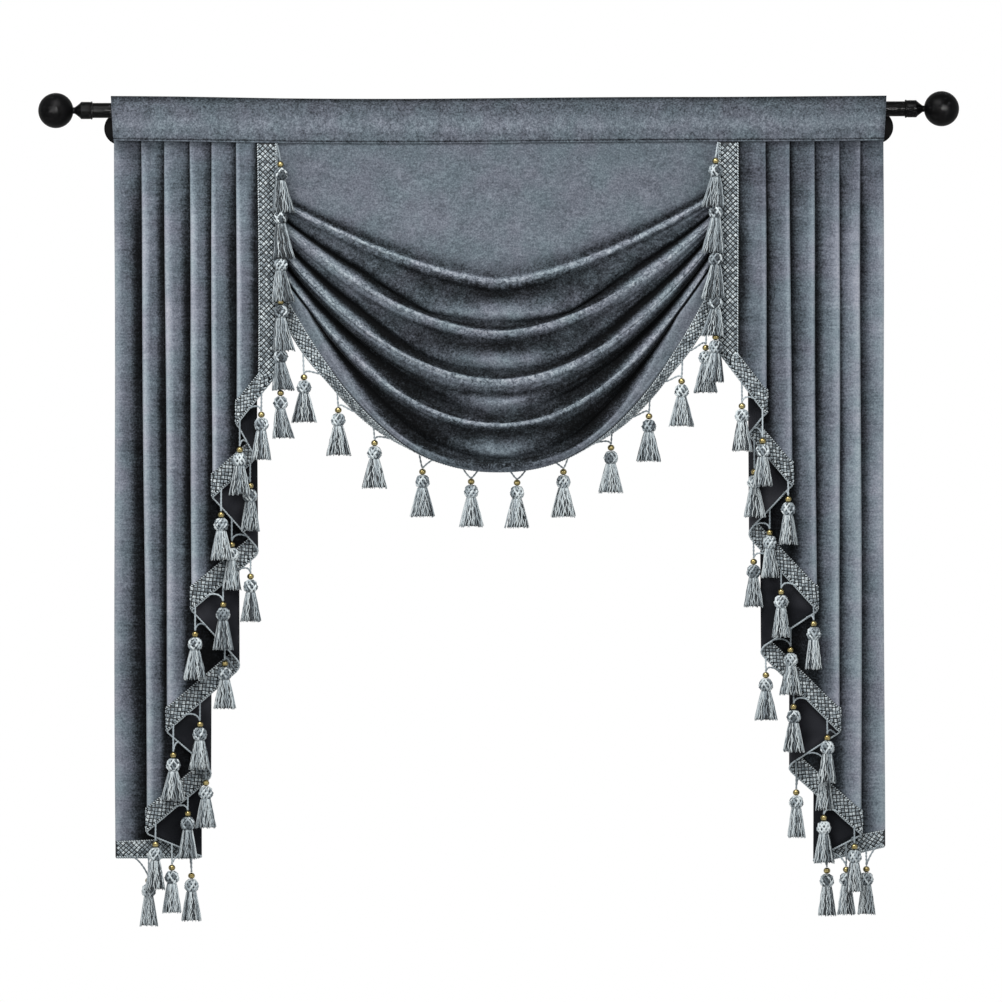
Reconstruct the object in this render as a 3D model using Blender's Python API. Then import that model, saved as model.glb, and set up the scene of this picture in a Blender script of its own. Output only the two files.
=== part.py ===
"""Swag and tail drape hanging from a curtain rod, at its real size.

Metres, +Z up, +Y towards the wall, +X to the right as seen from the room.  The origin lies on
the wall, level with the rod's axis and midway between the two brackets.
"""

import math

import bmesh
import bpy
from mathutils import Vector

# ---- driving dimensions -----------------------------------------------------------------
ROD_RADIUS = 0.0145
ROD_HALF_LENGTH = 0.7842
ROD_FROM_WALL = 0.085
GAP = 0.0003
SEAM_GAP = 0.0005
HEM_SEAM_GAP = 0.0009

BALL_RADIUS = 0.034
BALL_CENTRE_FROM_ROD_END = 0.071
COLLAR_RADIUS = 0.0166
COLLAR_LENGTH = 0.0244
COLLAR_LIP = 0.0008
COLLAR_LIP_LENGTH = 0.0036
CONE_END = 0.0330
NECK_RADIUS = 0.0062

BRACKET_X = 0.7325
PLATE_RADIUS = 0.032
PLATE_THICKNESS = 0.006
PLATE_RIM = 0.0025
PLATE_DROP = 0.0326
ARM_HALF_WIDTH = 0.007
ARM_HALF_HEIGHT = 0.006
ARM_PAST_ROD = 0.006
SADDLE_THICKNESS = 0.004
SADDLE_SPREAD = 46
SADDLE_FOOT = (0.011, 0.013)

HEADING_HALF_WIDTH = 0.749
HEADING_CLOTH = 0.0025
HEADER_TOP = 0.0265
HEADING_DROP = 0.0600
HEADING_SAG = 0.005
HEADING_END_SLANT = 0.06
HEADER_LAYERS = 0.0012
POCKET_HALF_WIDTH = 0.712
POCKET_SEAM_DROP = 0.0215
POCKET_SEAM_LEAD = (0.009, 0.0025)

CLOTH = 0.0014
PANEL_TOP = -0.048
BRAID_WIDTH = 0.038
TAIL_BRAID_HEIGHT = 0.046
OUTER_BRAID_HEIGHT = 0.032

SWAG_HALF_WIDTH = 0.4525
SWAG_SIDE_TUCK = 0.0032
SWAG_TUCK_START = 0.385
SWAG_TUCK_RUN = 0.030

CORD_RADIUS = 0.0020
HEAD_HEIGHT = 0.023
HEAD_RADIUS = 0.0120
NECK_OF_TASSEL = 0.0082
SKIRT_LENGTH = 0.061
SKIRT_DEPTH = 0.0088
LOCK_ROOT = 0.0022

# Panels hang behind the heading's front layer: depths are counted from this plane, towards the wall.
FRONT_PLANE = -(ROD_FROM_WALL + ROD_RADIUS + SEAM_GAP) + GAP + CLOTH / 2

# The folds fan out below the heading: height, and share of the full opening reached there.
FAN_LEVELS = ((PANEL_TOP, 0.0), (-0.07, 0.0), (-0.13, 0.34), (-0.23, 0.74), (-0.37, 1.0))

# One row for each fold of a tail, from the inner edge outwards.  Columns:
#   top, low    distance from the part's middle at the top and at the hem
#   near, far   depth where the cloth arrives at the fold and where it leaves it, at the top
#   low_near, low_far   the same two depths once the folds have fanned out
#   hem_in, hem_out     drop of the hem below the rod's axis on either side of the fold
TAIL_FOLDS_LEFT = (
    # top,   low,    near,   far,    low_near, low_far, hem_in, hem_out
    (0.4294, 0.4294, 0.0000, 0.0000, -0.004, -0.004, 0.511, 0.511),
    (0.5066, 0.5066, 0.0000, 0.0024, -0.007, 0.001, 0.600, 0.612),
    (0.4750, 0.4738, 0.0032, 0.0056, 0.010, 0.022, 0.655, 0.680),
    (0.5539, 0.5539, 0.0032, 0.0056, -0.001, 0.007, 0.742, 0.752),
    (0.4680, 0.4671, 0.0086, 0.0110, 0.030, 0.042, 0.838, 0.862),
    (0.5964, 0.5925, 0.0068, 0.0092, 0.006, 0.014, 0.960, 0.970),
    (0.5028, 0.5028, 0.0124, 0.0148, 0.037, 0.049, 1.058, 1.084),
    (0.6456, 0.6408, 0.0102, 0.0126, 0.012, 0.020, 1.194, 1.204),
    (0.5587, 0.5587, 0.0154, 0.0178, 0.039, 0.051, 1.268, 1.294),
    (0.6900, 0.6823, 0.0136, 0.0160, 0.016, 0.024, 1.388, 1.398),
    (0.5790, 0.5790, 0.0196, 0.0220, 0.049, 0.061, 1.438, 1.444),
    (0.7432, 0.7440, 0.0165, 0.0165, 0.030, 0.030, 1.443, 1.443),
)
TAIL_FOLDS_RIGHT = (
    # top,   low,    near,   far,    low_near, low_far, hem_in, hem_out
    (0.4256, 0.4270, 0.0000, 0.0000, -0.004, -0.004, 0.470, 0.470),
    (0.5143, 0.5182, 0.0000, 0.0024, -0.007, 0.001, 0.584, 0.590),
    (0.4825, 0.4825, 0.0034, 0.0058, 0.010, 0.022, 0.618, 0.636),
    (0.5607, 0.5665, 0.0034, 0.0058, -0.001, 0.007, 0.722, 0.730),
    (0.4815, 0.4815, 0.0088, 0.0112, 0.030, 0.042, 0.806, 0.832),
    (0.6089, 0.6128, 0.0070, 0.0094, 0.006, 0.014, 0.962, 0.972),
    (0.5057, 0.5057, 0.0128, 0.0152, 0.039, 0.051, 1.036, 1.058),
    (0.6572, 0.6562, 0.0104, 0.0128, 0.012, 0.020, 1.198, 1.206),
    (0.5607, 0.5607, 0.0158, 0.0182, 0.041, 0.053, 1.262, 1.282),
    (0.6977, 0.6977, 0.0138, 0.0162, 0.016, 0.024, 1.396, 1.404),
    (0.6058, 0.6058, 0.0196, 0.0220, 0.048, 0.060, 1.446, 1.456),
    (0.7430, 0.7430, 0.0165, 0.0165, 0.030, 0.030, 1.424, 1.424),
)

# One row for each main fold of the swag, from the top down.  Columns:
#   middle, left, right   drop of the crest below the rod's axis at the middle and at either side
#   bend                  how sharply the curve climbs to the sides
#   depth, side_depth     crest's depth at the middle and at the sides
SWAG_FOLDS = (
    # middle, left, right, bend,  depth,  side_depth
    (0.331, 0.160, 0.145, 1.50, -0.012, 0.011),
    (0.430, 0.192, 0.178, 1.78, -0.024, 0.012),
    (0.523, 0.228, 0.203, 1.96, -0.034, 0.013),
    (0.608, 0.260, 0.226, 2.02, -0.042, 0.014),
    (0.686, 0.292, 0.257, 2.10, -0.046, 0.013),
)
# One row for the cloth between two main folds.  Columns, as shares of the way to the next crest:
#   dip, rise       a shallow trough and the small crest below it
#   trough, side_trough   the deep trough, at the middle and at the sides
#   fade            how deep the small crest sinks at the sides
SWAG_TROUGHS = (
    # dip, rise,  trough, side_trough, fade
    (0.26, 0.58, 0.80, 0.66, 0.010),
    (0.33, 0.58, 0.80, 0.58, 0.012),
    (0.26, 0.52, 0.76, 0.50, 0.015),
    (0.22, 0.50, 0.74, 0.46, 0.015),
)
DIP_DEPTH = 0.007
TROUGH_DEPTH = 0.009
SIDE_TROUGH_DEPTH = 0.019
CREASE_RISE = 0.0135
CREASE_DEPTH = (0.003, 0.010)
UPPER_BULGES = ((0.45, 0.004), (0.85, 0.005))
# The folds are pressed flatter where they are gathered behind the tails.
PRESSED_FROM = 0.82
PRESSED_DEPTH = 0.40
HEM_TURN = (0.008, 0.010)
HEM_CUT = (0.013, 0.020)
HEM_BACK = (0.010, 0.003)
HEM_RISE_AT_MIDDLE = 0.028
HEM_FALL_AT_SIDE = 0.036

# One row for each tassel on a tail: the fold before it (0 is the inner edge), the share of the way to
# the next fold, its width, and the length of its cord below the hem.
TAIL_TASSELS_LEFT = (
    # fold, share, width, cord
    (0, 0.40, 0.038, 0.052),
    (0, 0.98, 0.042, 0.068),
    (2, 0.03, 0.036, 0.054),
    (2, 0.83, 0.042, 0.060),
    (3, 0.42, 0.036, 0.061),
    (4, 0.07, 0.040, 0.042),
    (4, 0.52, 0.038, 0.052),
    (4, 0.98, 0.044, 0.064),
    (5, 0.73, 0.042, 0.045),
    (6, 0.54, 0.040, 0.053),
    (6, 0.94, 0.048, 0.068),
    (7, 0.95, 0.040, 0.045),
    (8, 0.34, 0.036, 0.043),
    (8, 0.89, 0.040, 0.050),
    (9, 0.46, 0.036, 0.057),
    (9, 0.86, 0.038, 0.057),
    (10, 0.60, 0.036, 0.055),
)
TAIL_TASSELS_RIGHT = (
    # fold, share, width, cord
    (0, 0.50, 0.038, 0.057),
    (0, 0.96, 0.038, 0.072),
    (2, 0.05, 0.042, 0.071),
    (2, 0.95, 0.036, 0.046),
    (3, 0.54, 0.034, 0.057),
    (4, 0.02, 0.038, 0.050),
    (4, 0.46, 0.034, 0.051),
    (4, 0.98, 0.032, 0.045),
    (5, 0.48, 0.042, 0.052),
    (6, 0.02, 0.044, 0.043),
    (6, 0.40, 0.040, 0.051),
    (6, 0.86, 0.034, 0.046),
    (7, 0.92, 0.034, 0.073),
    (8, 0.47, 0.040, 0.044),
    (8, 0.93, 0.036, 0.047),
    (9, 0.30, 0.034, 0.063),
    (9, 0.76, 0.034, 0.046),
    (10, 0.72, 0.034, 0.046),
)
# One row for each tassel on a tail's inner edge: drop of its root below the rod's axis, cord length.
EDGE_TASSELS_LEFT = (
    (0.099, 0.006), (0.182, 0.006), (0.273, 0.006), (0.364, 0.006), (0.450, 0.006), (0.493, 0.053),
)
EDGE_TASSELS_RIGHT = ((0.094, 0.006), (0.173, 0.006), (0.264, 0.006), (0.349, 0.006), (0.434, 0.006))
EDGE_TASSEL_WIDTH = 0.036
EDGE_SKIRT = 0.050
HEM_ROOT = 0.004
BEFORE_FACE = 0.012
BEFORE_RETURN = 0.004
BESIDE_EDGE = 0.011
BEFORE_EDGE = 0.0155
# One row for each tassel on the swag: distance from the part's middle, cord length.
SWAG_TASSELS = (
    (-0.3770, 0.057), (-0.3110, 0.041), (-0.2410, 0.038), (-0.1485, 0.046), (-0.0545, 0.055),
    (0.0340, 0.057), (0.1235, 0.044), (0.2155, 0.036), (0.2890, 0.040), (0.3520, 0.050), (0.3990, 0.058),
)
SWAG_TASSEL_WIDTH = 0.044

SATIN_BLACK = (0.012, 0.012, 0.013)
SLATE_VELVET = (0.105, 0.125, 0.150)
SLATE_BAND = (0.125, 0.145, 0.170)
SILVER_BRAID = (0.300, 0.350, 0.370)


# ---- building helpers -------------------------------------------------------------------
def blend(a, b, share):
    return a + (b - a) * share


def smooth(share):
    share = min(max(share, 0.0), 1.0)
    return share * share * (3 - 2 * share)


def plain_material(name, colour, roughness, metallic=0.0, sheen=0.0):
    material = bpy.data.materials.new(name)
    material.use_nodes = True
    shader = material.node_tree.nodes["Principled BSDF"]
    shader.inputs["Base Color"].default_value = (*colour, 1)
    shader.inputs["Roughness"].default_value = roughness
    shader.inputs["Metallic"].default_value = metallic
    shader.inputs["Sheen Weight"].default_value = sheen
    return material


class Shell:
    """The points and faces of a closed body under construction."""

    def __init__(self):
        self.points = []
        self.faces = []

    def add(self, points):
        first = len(self.points)
        self.points.extend(points)
        return list(range(first, len(self.points)))

    def bridge(self, ring_a, ring_b):
        count = len(ring_a)
        for i in range(count):
            j = (i + 1) % count
            self.faces.append((ring_a[i], ring_a[j], ring_b[j], ring_b[i]))

    def object(self, name, material=None):
        mesh = bpy.data.meshes.new(name)
        mesh.from_pydata(self.points, [], self.faces)
        work = bmesh.new()
        work.from_mesh(mesh)
        bmesh.ops.remove_doubles(work, verts=work.verts, dist=1e-6)
        bmesh.ops.recalc_face_normals(work, faces=work.faces)
        work.to_mesh(mesh)
        work.free()
        made = bpy.data.objects.new(name, mesh)
        bpy.context.collection.objects.link(made)
        if material:
            mesh.materials.append(material)
        return made


def round_off(made, degrees=40):
    made.data.shade_smooth()
    made.data.set_sharp_from_angle(angle=math.radians(degrees))


def unite(base, others):
    """Fuses the others into base with exact unions and removes them."""
    for other in others:
        joint = base.modifiers.new("union", "BOOLEAN")
        joint.operation = "UNION"
        joint.solver = "EXACT"
        joint.object = other
    evaluated = base.evaluated_get(bpy.context.evaluated_depsgraph_get())
    mesh = bpy.data.meshes.new_from_object(evaluated)
    base.modifiers.clear()
    tidy = bmesh.new()
    tidy.from_mesh(mesh)
    bmesh.ops.remove_doubles(tidy, verts=tidy.verts, dist=1e-6)
    tidy.to_mesh(mesh)
    tidy.free()
    base.data = mesh
    for other in others:
        bpy.data.objects.remove(other)


def turned(name, profile, place, segments, material):
    """A closed body turned about a line; place(along, across, up) gives a point in space."""
    shell = Shell()
    rings = []
    for along, radius in profile:
        if radius == 0:
            rings.append(shell.add([place(along, 0, 0)]) * segments)
            continue
        angles = [2 * math.pi * i / segments for i in range(segments)]
        rings.append(shell.add([place(along, radius * math.cos(a), radius * math.sin(a)) for a in angles]))
    for ring_a, ring_b in zip(rings, rings[1:]):
        for i in range(segments):
            j = (i + 1) % segments
            corners = (ring_a[i], ring_a[j], ring_b[j], ring_b[i])
            shell.faces.append(tuple(dict.fromkeys(corners)))
    for ring in (rings[0], rings[-1]):
        if len(set(ring)) > 1:
            shell.faces.append(tuple(ring))
    made = shell.object(name, material)
    round_off(made)
    return made


def closed_sheet(shell, middle, normals, thickness):
    """A grid of points on a sheet's middle, thickened to both sides into one closed body."""
    rows = len(middle)
    columns = len(middle[0])
    half = thickness / 2
    front = [shell.add([p + n * half for p, n in zip(middle[r], normals[r])]) for r in range(rows)]
    back = [shell.add([p - n * half for p, n in zip(middle[r], normals[r])]) for r in range(rows)]
    for r in range(rows - 1):
        for c in range(columns - 1):
            # Both sides are split along the same, shorter diagonal, so a twisted patch keeps its thickness.
            falling = (middle[r][c] - middle[r + 1][c + 1]).length
            rising = (middle[r][c + 1] - middle[r + 1][c]).length
            corners = ((r, c), (r, c + 1), (r + 1, c + 1), (r + 1, c))
            if rising < falling:
                corners = corners[1:] + corners[:1]
            for triangle in ((corners[0], corners[1], corners[2]), (corners[0], corners[2], corners[3])):
                shell.faces.append(tuple(front[i][j] for i, j in triangle))
                shell.faces.append(tuple(back[i][j] for i, j in reversed(triangle)))
    edge = [(0, c) for c in range(columns)]
    edge += [(r, columns - 1) for r in range(1, rows)]
    edge += [(rows - 1, c) for c in range(columns - 2, -1, -1)]
    edge += [(r, 0) for r in range(rows - 2, 0, -1)]
    for start, end in zip(edge, edge[1:] + edge[:1]):
        (r0, c0), (r1, c1) = sorted((start, end), key=lambda place: place[::-1])
        shell.faces.append((front[r0][c0], back[r0][c0], back[r1][c1]))
        shell.faces.append((front[r0][c0], back[r1][c1], front[r1][c1]))


# ---- rod, finials and brackets ----------------------------------------------------------
def build_rod(metal):
    profile = ((-ROD_HALF_LENGTH, ROD_RADIUS), (ROD_HALF_LENGTH, ROD_RADIUS))
    turned("rod", profile, lambda x, y, z: (x, y - ROD_FROM_WALL, z), 24, metal)


def finial_profile():
    start = GAP
    profile = [
        (start, COLLAR_RADIUS + COLLAR_LIP),
        (start + COLLAR_LIP_LENGTH, COLLAR_RADIUS + COLLAR_LIP),
        (start + COLLAR_LIP_LENGTH + COLLAR_LIP, COLLAR_RADIUS),
        (start + COLLAR_LENGTH, COLLAR_RADIUS),
        (start + CONE_END, NECK_RADIUS),
    ]
    neck_angle = math.asin(NECK_RADIUS / BALL_RADIUS)
    steps = 8
    for i in range(steps):
        angle = blend(math.pi - neck_angle, 0.0, i / steps)
        along = BALL_CENTRE_FROM_ROD_END + BALL_RADIUS * math.cos(angle)
        profile.append((along, BALL_RADIUS * math.sin(angle)))
    profile.append((BALL_CENTRE_FROM_ROD_END + BALL_RADIUS, 0))
    return profile


def build_finial(name, side, metal):
    def place(along, y, z):
        return (side * (ROD_HALF_LENGTH + along), y - ROD_FROM_WALL, z)

    turned(name, finial_profile(), place, 16, metal)


def arm_outline():
    """The arm's side view: a bar from the plate to below the rod, and a saddle that holds the rod."""
    inner = ROD_RADIUS + GAP
    outer = inner + SADDLE_THICKNESS
    low = -PLATE_DROP - ARM_HALF_HEIGHT
    high = -PLATE_DROP + ARM_HALF_HEIGHT
    spread = math.radians(SADDLE_SPREAD)
    steps = 8
    points = [(-PLATE_THICKNESS / 2, low), (-ROD_FROM_WALL - ARM_PAST_ROD, low)]
    points.append((-ROD_FROM_WALL - SADDLE_FOOT[0], high))
    points.append((-ROD_FROM_WALL - outer * math.sin(spread), -outer * math.cos(spread)))
    for i in range(steps + 1):
        angle = blend(-spread, spread, i / steps)
        points.append((-ROD_FROM_WALL + inner * math.sin(angle), -inner * math.cos(angle)))
    points.append((-ROD_FROM_WALL + outer * math.sin(spread), -outer * math.cos(spread)))
    points += [(-ROD_FROM_WALL + SADDLE_FOOT[1], high), (-PLATE_THICKNESS / 2, high)]
    return points


def build_bracket(name, side, metal):
    centre = side * BRACKET_X
    profile = (
        (0, PLATE_RADIUS),
        (-PLATE_THICKNESS + PLATE_RIM, PLATE_RADIUS),
        (-PLATE_THICKNESS, PLATE_RADIUS - PLATE_RIM),
    )
    plate = turned(name, profile, lambda y, x, z: (x + centre, y, z - PLATE_DROP), 24, metal)
    arm = Shell()
    sides = []
    for x in (centre - ARM_HALF_WIDTH, centre + ARM_HALF_WIDTH):
        sides.append(arm.add([(x, y, z) for y, z in arm_outline()]))
    arm.bridge(*sides)
    arm.faces += [tuple(sides[0]), tuple(sides[1])]
    unite(plate, [arm.object(name + "_arm")])
    round_off(plate)


# ---- heading ----------------------------------------------------------------------------
def ribbon_outline(line, thickness):
    """The outline of a ribbon seen end on: a line of (y, z) points, thickened to both sides."""
    left = []
    right = []
    for i, point in enumerate(line):
        before = line[max(i - 1, 0)]
        after = line[min(i + 1, len(line) - 1)]
        along = Vector((after[0] - before[0], after[1] - before[1])).normalized()
        across = Vector((-along.y, along.x)) * thickness / 2
        left.append((point[0] + across.x, point[1] + across.y))
        right.append((point[0] - across.x, point[1] - across.y))
    return left + right[::-1]


def front_layer_line(header_top, drop):
    """Middle of the front layer: header, over the rod's upper front, then straight down."""
    reach = ROD_RADIUS + SEAM_GAP + HEADING_CLOTH / 2
    line = [(-ROD_FROM_WALL, header_top)]
    line.append((-ROD_FROM_WALL - HEADER_LAYERS / 2, blend(reach, header_top, 0.5)))
    for degrees in (80, 60, 40, 20, 0):
        angle = math.radians(degrees)
        line.append((-ROD_FROM_WALL - reach * math.cos(angle), reach * math.sin(angle)))
    line.append((-ROD_FROM_WALL - reach, -POCKET_SEAM_DROP))
    line.append((-ROD_FROM_WALL - reach, drop))
    return line


def back_layer_line(header_top):
    """Middle of the back layer: header, round the rod's back, up to the front layer below the rod."""
    reach = ROD_RADIUS + SEAM_GAP + HEADING_CLOTH / 2
    line = [(-ROD_FROM_WALL + HEADER_LAYERS, header_top - GAP)]
    line.append((-ROD_FROM_WALL + HEADER_LAYERS, blend(reach, header_top, 0.4)))
    for degrees in (75, 50, 25, 0, -25, -50, -75, -100):
        angle = math.radians(degrees)
        line.append((-ROD_FROM_WALL + reach * math.cos(angle), reach * math.sin(angle)))
    line.append((-ROD_FROM_WALL - POCKET_SEAM_LEAD[0], -POCKET_SEAM_DROP + POCKET_SEAM_LEAD[1]))
    line.append((-ROD_FROM_WALL - reach, -POCKET_SEAM_DROP))
    return line


def extruded_ribbon(name, stations, make_line, material=None):
    """A ribbon drawn along X; make_line(share) gives its line, with share 0 at the ends, 1 midway."""
    shell = Shell()
    rings = []
    for x in stations:
        share = 1 - (x / HEADING_HALF_WIDTH) ** 2
        outline = ribbon_outline(make_line(share), HEADING_CLOTH)
        slant = HEADING_END_SLANT * (abs(x) / HEADING_HALF_WIDTH) ** 8
        rings.append(shell.add([(x - math.copysign(slant * (HEADER_TOP - z), x), y, z) for y, z in outline]))
    for ring_a, ring_b in zip(rings, rings[1:]):
        shell.bridge(ring_a, ring_b)
    count = len(rings[0])
    for ring in (rings[0], rings[-1]):
        for i in range(count // 2 - 1):
            shell.faces.append((ring[i], ring[i + 1], ring[count - 2 - i], ring[count - 1 - i]))
    return shell.object(name, material)


def build_heading(cloth):
    def stations(half_width, count):
        return [half_width * (2 * i / (count - 1) - 1) for i in range(count)]

    def front(share):
        top = HEADER_TOP - HEADING_SAG * share
        return front_layer_line(top, -HEADING_DROP - HEADING_SAG * share)

    def back(share):
        return back_layer_line(HEADER_TOP - HEADING_SAG * share)

    heading = extruded_ribbon("heading", stations(HEADING_HALF_WIDTH, 7), front, cloth)
    pocket = extruded_ribbon("heading_back", stations(POCKET_HALF_WIDTH, 5), back)
    unite(heading, [pocket])
    round_off(heading)


# ---- tails ------------------------------------------------------------------------------
FOLD_ANGLES = (-90, -45, 0, 45, 90)


def fan_opening(z):
    for (upper, share), (lower, next_share) in zip(FAN_LEVELS, FAN_LEVELS[1:]):
        if z > lower:
            return blend(share, next_share, (upper - z) / (upper - lower))
    return 1.0


def tail_point(folds, side, station, z):
    """A point of a tail's middle surface and its normal, at one station of its path and one height.

    A station is (fold, angle) on a fold's round, or (fold, share) on the run that follows the fold.
    """
    fan = fan_opening(z)
    way = min(max((PANEL_TOP - z) / 1.3, 0.0), 1.0)

    def fold_ends(index):
        top, low, near, far, low_near, low_far = folds[index][:6]
        return blend(top, low, way), blend(near, low_near, fan), blend(far, low_far, fan)

    def on_round(index, degrees):
        across, near, far = fold_ends(index)
        radius = (far - near) / 2
        bulge = radius if index % 2 else -radius
        angle = math.radians(degrees)
        plan = Vector((across - bulge + bulge * math.cos(angle), (near + far) / 2 + radius * math.sin(angle)))
        outward = Vector((bulge * math.cos(angle), radius * math.sin(angle)))
        if radius:
            outward.normalize()
            # The cloth's face looks to the room before a front fold and to the wall after it.
            return plan, outward if index % 2 else -outward
        return plan, Vector((0, -1))

    index, kind, amount = station
    if kind == "round":
        plan, normal = on_round(index, amount)
    else:
        start = on_round(index, 90)[0]
        end = on_round(index + 1, -90)[0]
        plan = start.lerp(end, amount)
        along = (end - start).normalized()
        normal = Vector((along.y, -along.x))
    return (
        Vector((side * plan.x, FRONT_PLANE + plan.y, z)),
        Vector((side * normal.x, normal.y, 0)),
    )


def tail_stations():
    """Stations along a tail's path, from the inner edge to the outer edge."""
    stations = [(0, "run", 0.0), (0, "run", "braid"), (0, "run", 0.75)]
    for index in range(1, 11):
        stations += [(index, "round", degrees) for degrees in FOLD_ANGLES]
        stations.append((index, "run", 0.5))
    stations.append((10, "run", 1.0))
    return stations


def tail_hem(folds, station):
    """Drop of the hem and the braid's height at a station."""
    index, kind, amount = station
    if kind == "round":
        drop = blend(folds[index][6], folds[index][7], (amount + 90) / 180)
    else:
        drop = blend(folds[index][7], folds[index + 1][6], amount)
    place = index + (amount if kind == "run" else 0)
    return drop, blend(TAIL_BRAID_HEIGHT, OUTER_BRAID_HEIGHT, smooth((place - 9.5) / 1.5))


def resolved_stations(folds):
    """The stations with the inner braid's edge given as a share of the first run."""
    share = BRAID_WIDTH / (folds[1][0] - folds[0][0])
    return [(i, kind, share if amount == "braid" else amount) for i, kind, amount in tail_stations()]


def build_tail(name, folds, side, cloth):
    stations = resolved_stations(folds)[1:]
    first_share = stations[0][2] + SEAM_GAP / (folds[1][0] - folds[0][0])
    stations[0] = (0, "run", first_share)
    middle = []
    normals = []
    for level in [z for z, share in FAN_LEVELS] + [None]:
        points = []
        for station in stations:
            drop, braid = tail_hem(folds, station)
            points.append(tail_point(folds, side, station, braid - drop if level is None else level))
        middle.append([p for p, n in points])
        normals.append([n for p, n in points])
    shell = Shell()
    closed_sheet(shell, middle, normals, CLOTH)
    made = shell.object(name, cloth)
    round_off(made, 60)


def tail_braid(folds, side):
    """The braid's two edges as stations and heights: down the inner edge, then along the hem."""
    stations = resolved_stations(folds)
    inner = stations[0]
    cut = stations[1]
    hem_drop = tail_hem(folds, inner)[0]
    cut_drop, cut_height = tail_hem(folds, cut)
    corner = -cut_drop + cut_height - HEM_SEAM_GAP
    pairs = [((inner, z), (cut, z)) for z, share in FAN_LEVELS]
    pairs.append(((inner, -hem_drop), (cut, corner)))
    for station in stations[1:]:
        drop, height = tail_hem(folds, station)
        pairs.append(((station, -drop), (station, -drop + height - HEM_SEAM_GAP)))
    rows = []
    for edge in (0, 1):
        rows.append([tail_point(folds, side, *pair[edge]) for pair in pairs])
    return rows


def hang_on_hem(shell, folds, side, index, share, width, cord):
    station = (index, "run", share)
    drop = tail_hem(folds, station)[0]
    root = tail_point(folds, side, station, -drop + HEM_ROOT)[0]
    plumb = Vector((root.x, root.y - (BEFORE_RETURN if index % 2 else BEFORE_FACE), 0))
    add_tassel(shell, root, plumb, cord + HEM_ROOT, width, SKIRT_LENGTH)


def hang_on_edge(shell, folds, side, drop, cord):
    root = tail_point(folds, side, (0, "run", 0.04), -drop)[0]
    plumb = Vector((root.x - side * BESIDE_EDGE, root.y - BEFORE_EDGE, 0))
    add_tassel(shell, root, plumb, cord, EDGE_TASSEL_WIDTH, EDGE_SKIRT)


def build_tail_fringe(name, folds, side, tassels, edge_tassels, yarn):
    rows = tail_braid(folds, side)
    strip = Shell()
    closed_sheet(strip, [[p for p, n in row] for row in rows], [[n for p, n in row] for row in rows], CLOTH)
    braid = strip.object(name, yarn)
    hanging = Shell()
    for tassel in tassels:
        hang_on_hem(hanging, folds, side, *tassel)
    for tassel in edge_tassels:
        hang_on_edge(hanging, folds, side, *tassel)
    unite(braid, [hanging.object(name + "_tassels")])
    round_off(braid, 60)


# ---- swag -------------------------------------------------------------------------------
SWAG_COLUMNS = 28


def swag_line(x):
    """The swag's middle line from top to hem at one distance from the part's middle, as (depth, z)."""
    share = min(abs(x) / SWAG_HALF_WIDTH, 1.0)
    belly = (1 - share * share) ** 1.4
    tuck = SWAG_SIDE_TUCK * smooth((abs(x) - SWAG_TUCK_START) / SWAG_TUCK_RUN)
    pressed = blend(1.0, PRESSED_DEPTH, smooth((share - PRESSED_FROM) / (1 - PRESSED_FROM)))
    crests = []
    for fold in SWAG_FOLDS:
        side_drop = fold[1] if x < 0 else fold[2]
        drop = blend(fold[0], side_drop, share ** fold[3])
        crests.append((blend(fold[5], fold[4], belly), -drop))
    first = crests[0]
    crease = (first[0] + blend(*CREASE_DEPTH, share), first[1] + CREASE_RISE)
    top = (tuck, PANEL_TOP)
    below_band = (tuck + 0.0002, FAN_LEVELS[1][0])
    line = [top, below_band]
    for part, forward in UPPER_BULGES:
        bulge = forward * (1 - share)
        line.append((blend(tuck, crease[0], part ** 1.5) - bulge, blend(below_band[1], crease[1], part)))
    line.append(crease)
    for (dip, rise, trough, side_trough, fade), upper, lower in zip(SWAG_TROUGHS, crests, crests[1:]):
        line.append(upper)
        side = smooth(share * 1.5)
        steps = (
            (dip * 0.45, DIP_DEPTH * 0.25),
            (dip, DIP_DEPTH),
            (blend(rise, blend(dip, side_trough, 0.5), side), blend(0.001, fade, side)),
            (blend(trough, side_trough, side), blend(TROUGH_DEPTH, SIDE_TROUGH_DEPTH, side)),
        )
        for part, back in steps:
            line.append((blend(upper[0], lower[0], part) + back * pressed, blend(upper[1], lower[1], part)))
    hem = crests[-1]
    line.append(hem)
    line.append((hem[0] + 0.001, hem[1] - blend(*HEM_TURN, share)))
    line.append((hem[0] + blend(*HEM_BACK, smooth(share / 0.7)), hem[1] - blend(*HEM_CUT, share)))
    fall = blend(-HEM_RISE_AT_MIDDLE, HEM_FALL_AT_SIDE, smooth(share / 0.85))
    back = math.sqrt(max(BRAID_WIDTH ** 2 - fall ** 2, 0.004 ** 2))
    line.append((line[-1][0] + back, line[-1][1] - fall))
    return line


def swag_grid():
    """Middle points and normals of the whole swag, braid included; the last row is the hem."""
    grid = []
    for c in range(SWAG_COLUMNS + 1):
        # Columns stand closer together towards the sides, where the folds climb.
        x = SWAG_HALF_WIDTH * math.sin(math.pi / 2 * (2 * c / SWAG_COLUMNS - 1))
        grid.append([Vector((x, FRONT_PLANE + depth, z)) for depth, z in swag_line(x)])
    columns = len(grid)
    rows = len(grid[0])
    middle = [[grid[c][r] for c in range(columns)] for r in range(rows)]
    normals = []
    for r in range(rows):
        row = []
        for c in range(columns):
            across = middle[r][min(c + 1, columns - 1)] - middle[r][max(c - 1, 0)]
            down = middle[min(r + 1, rows - 1)][c] - middle[max(r - 1, 0)][c]
            row.append(down.cross(across).normalized())
        normals.append(row)
    return middle, normals


def shifted(points, towards, distance):
    return [p + (q - p).normalized() * distance for p, q in zip(points, towards)]


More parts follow.
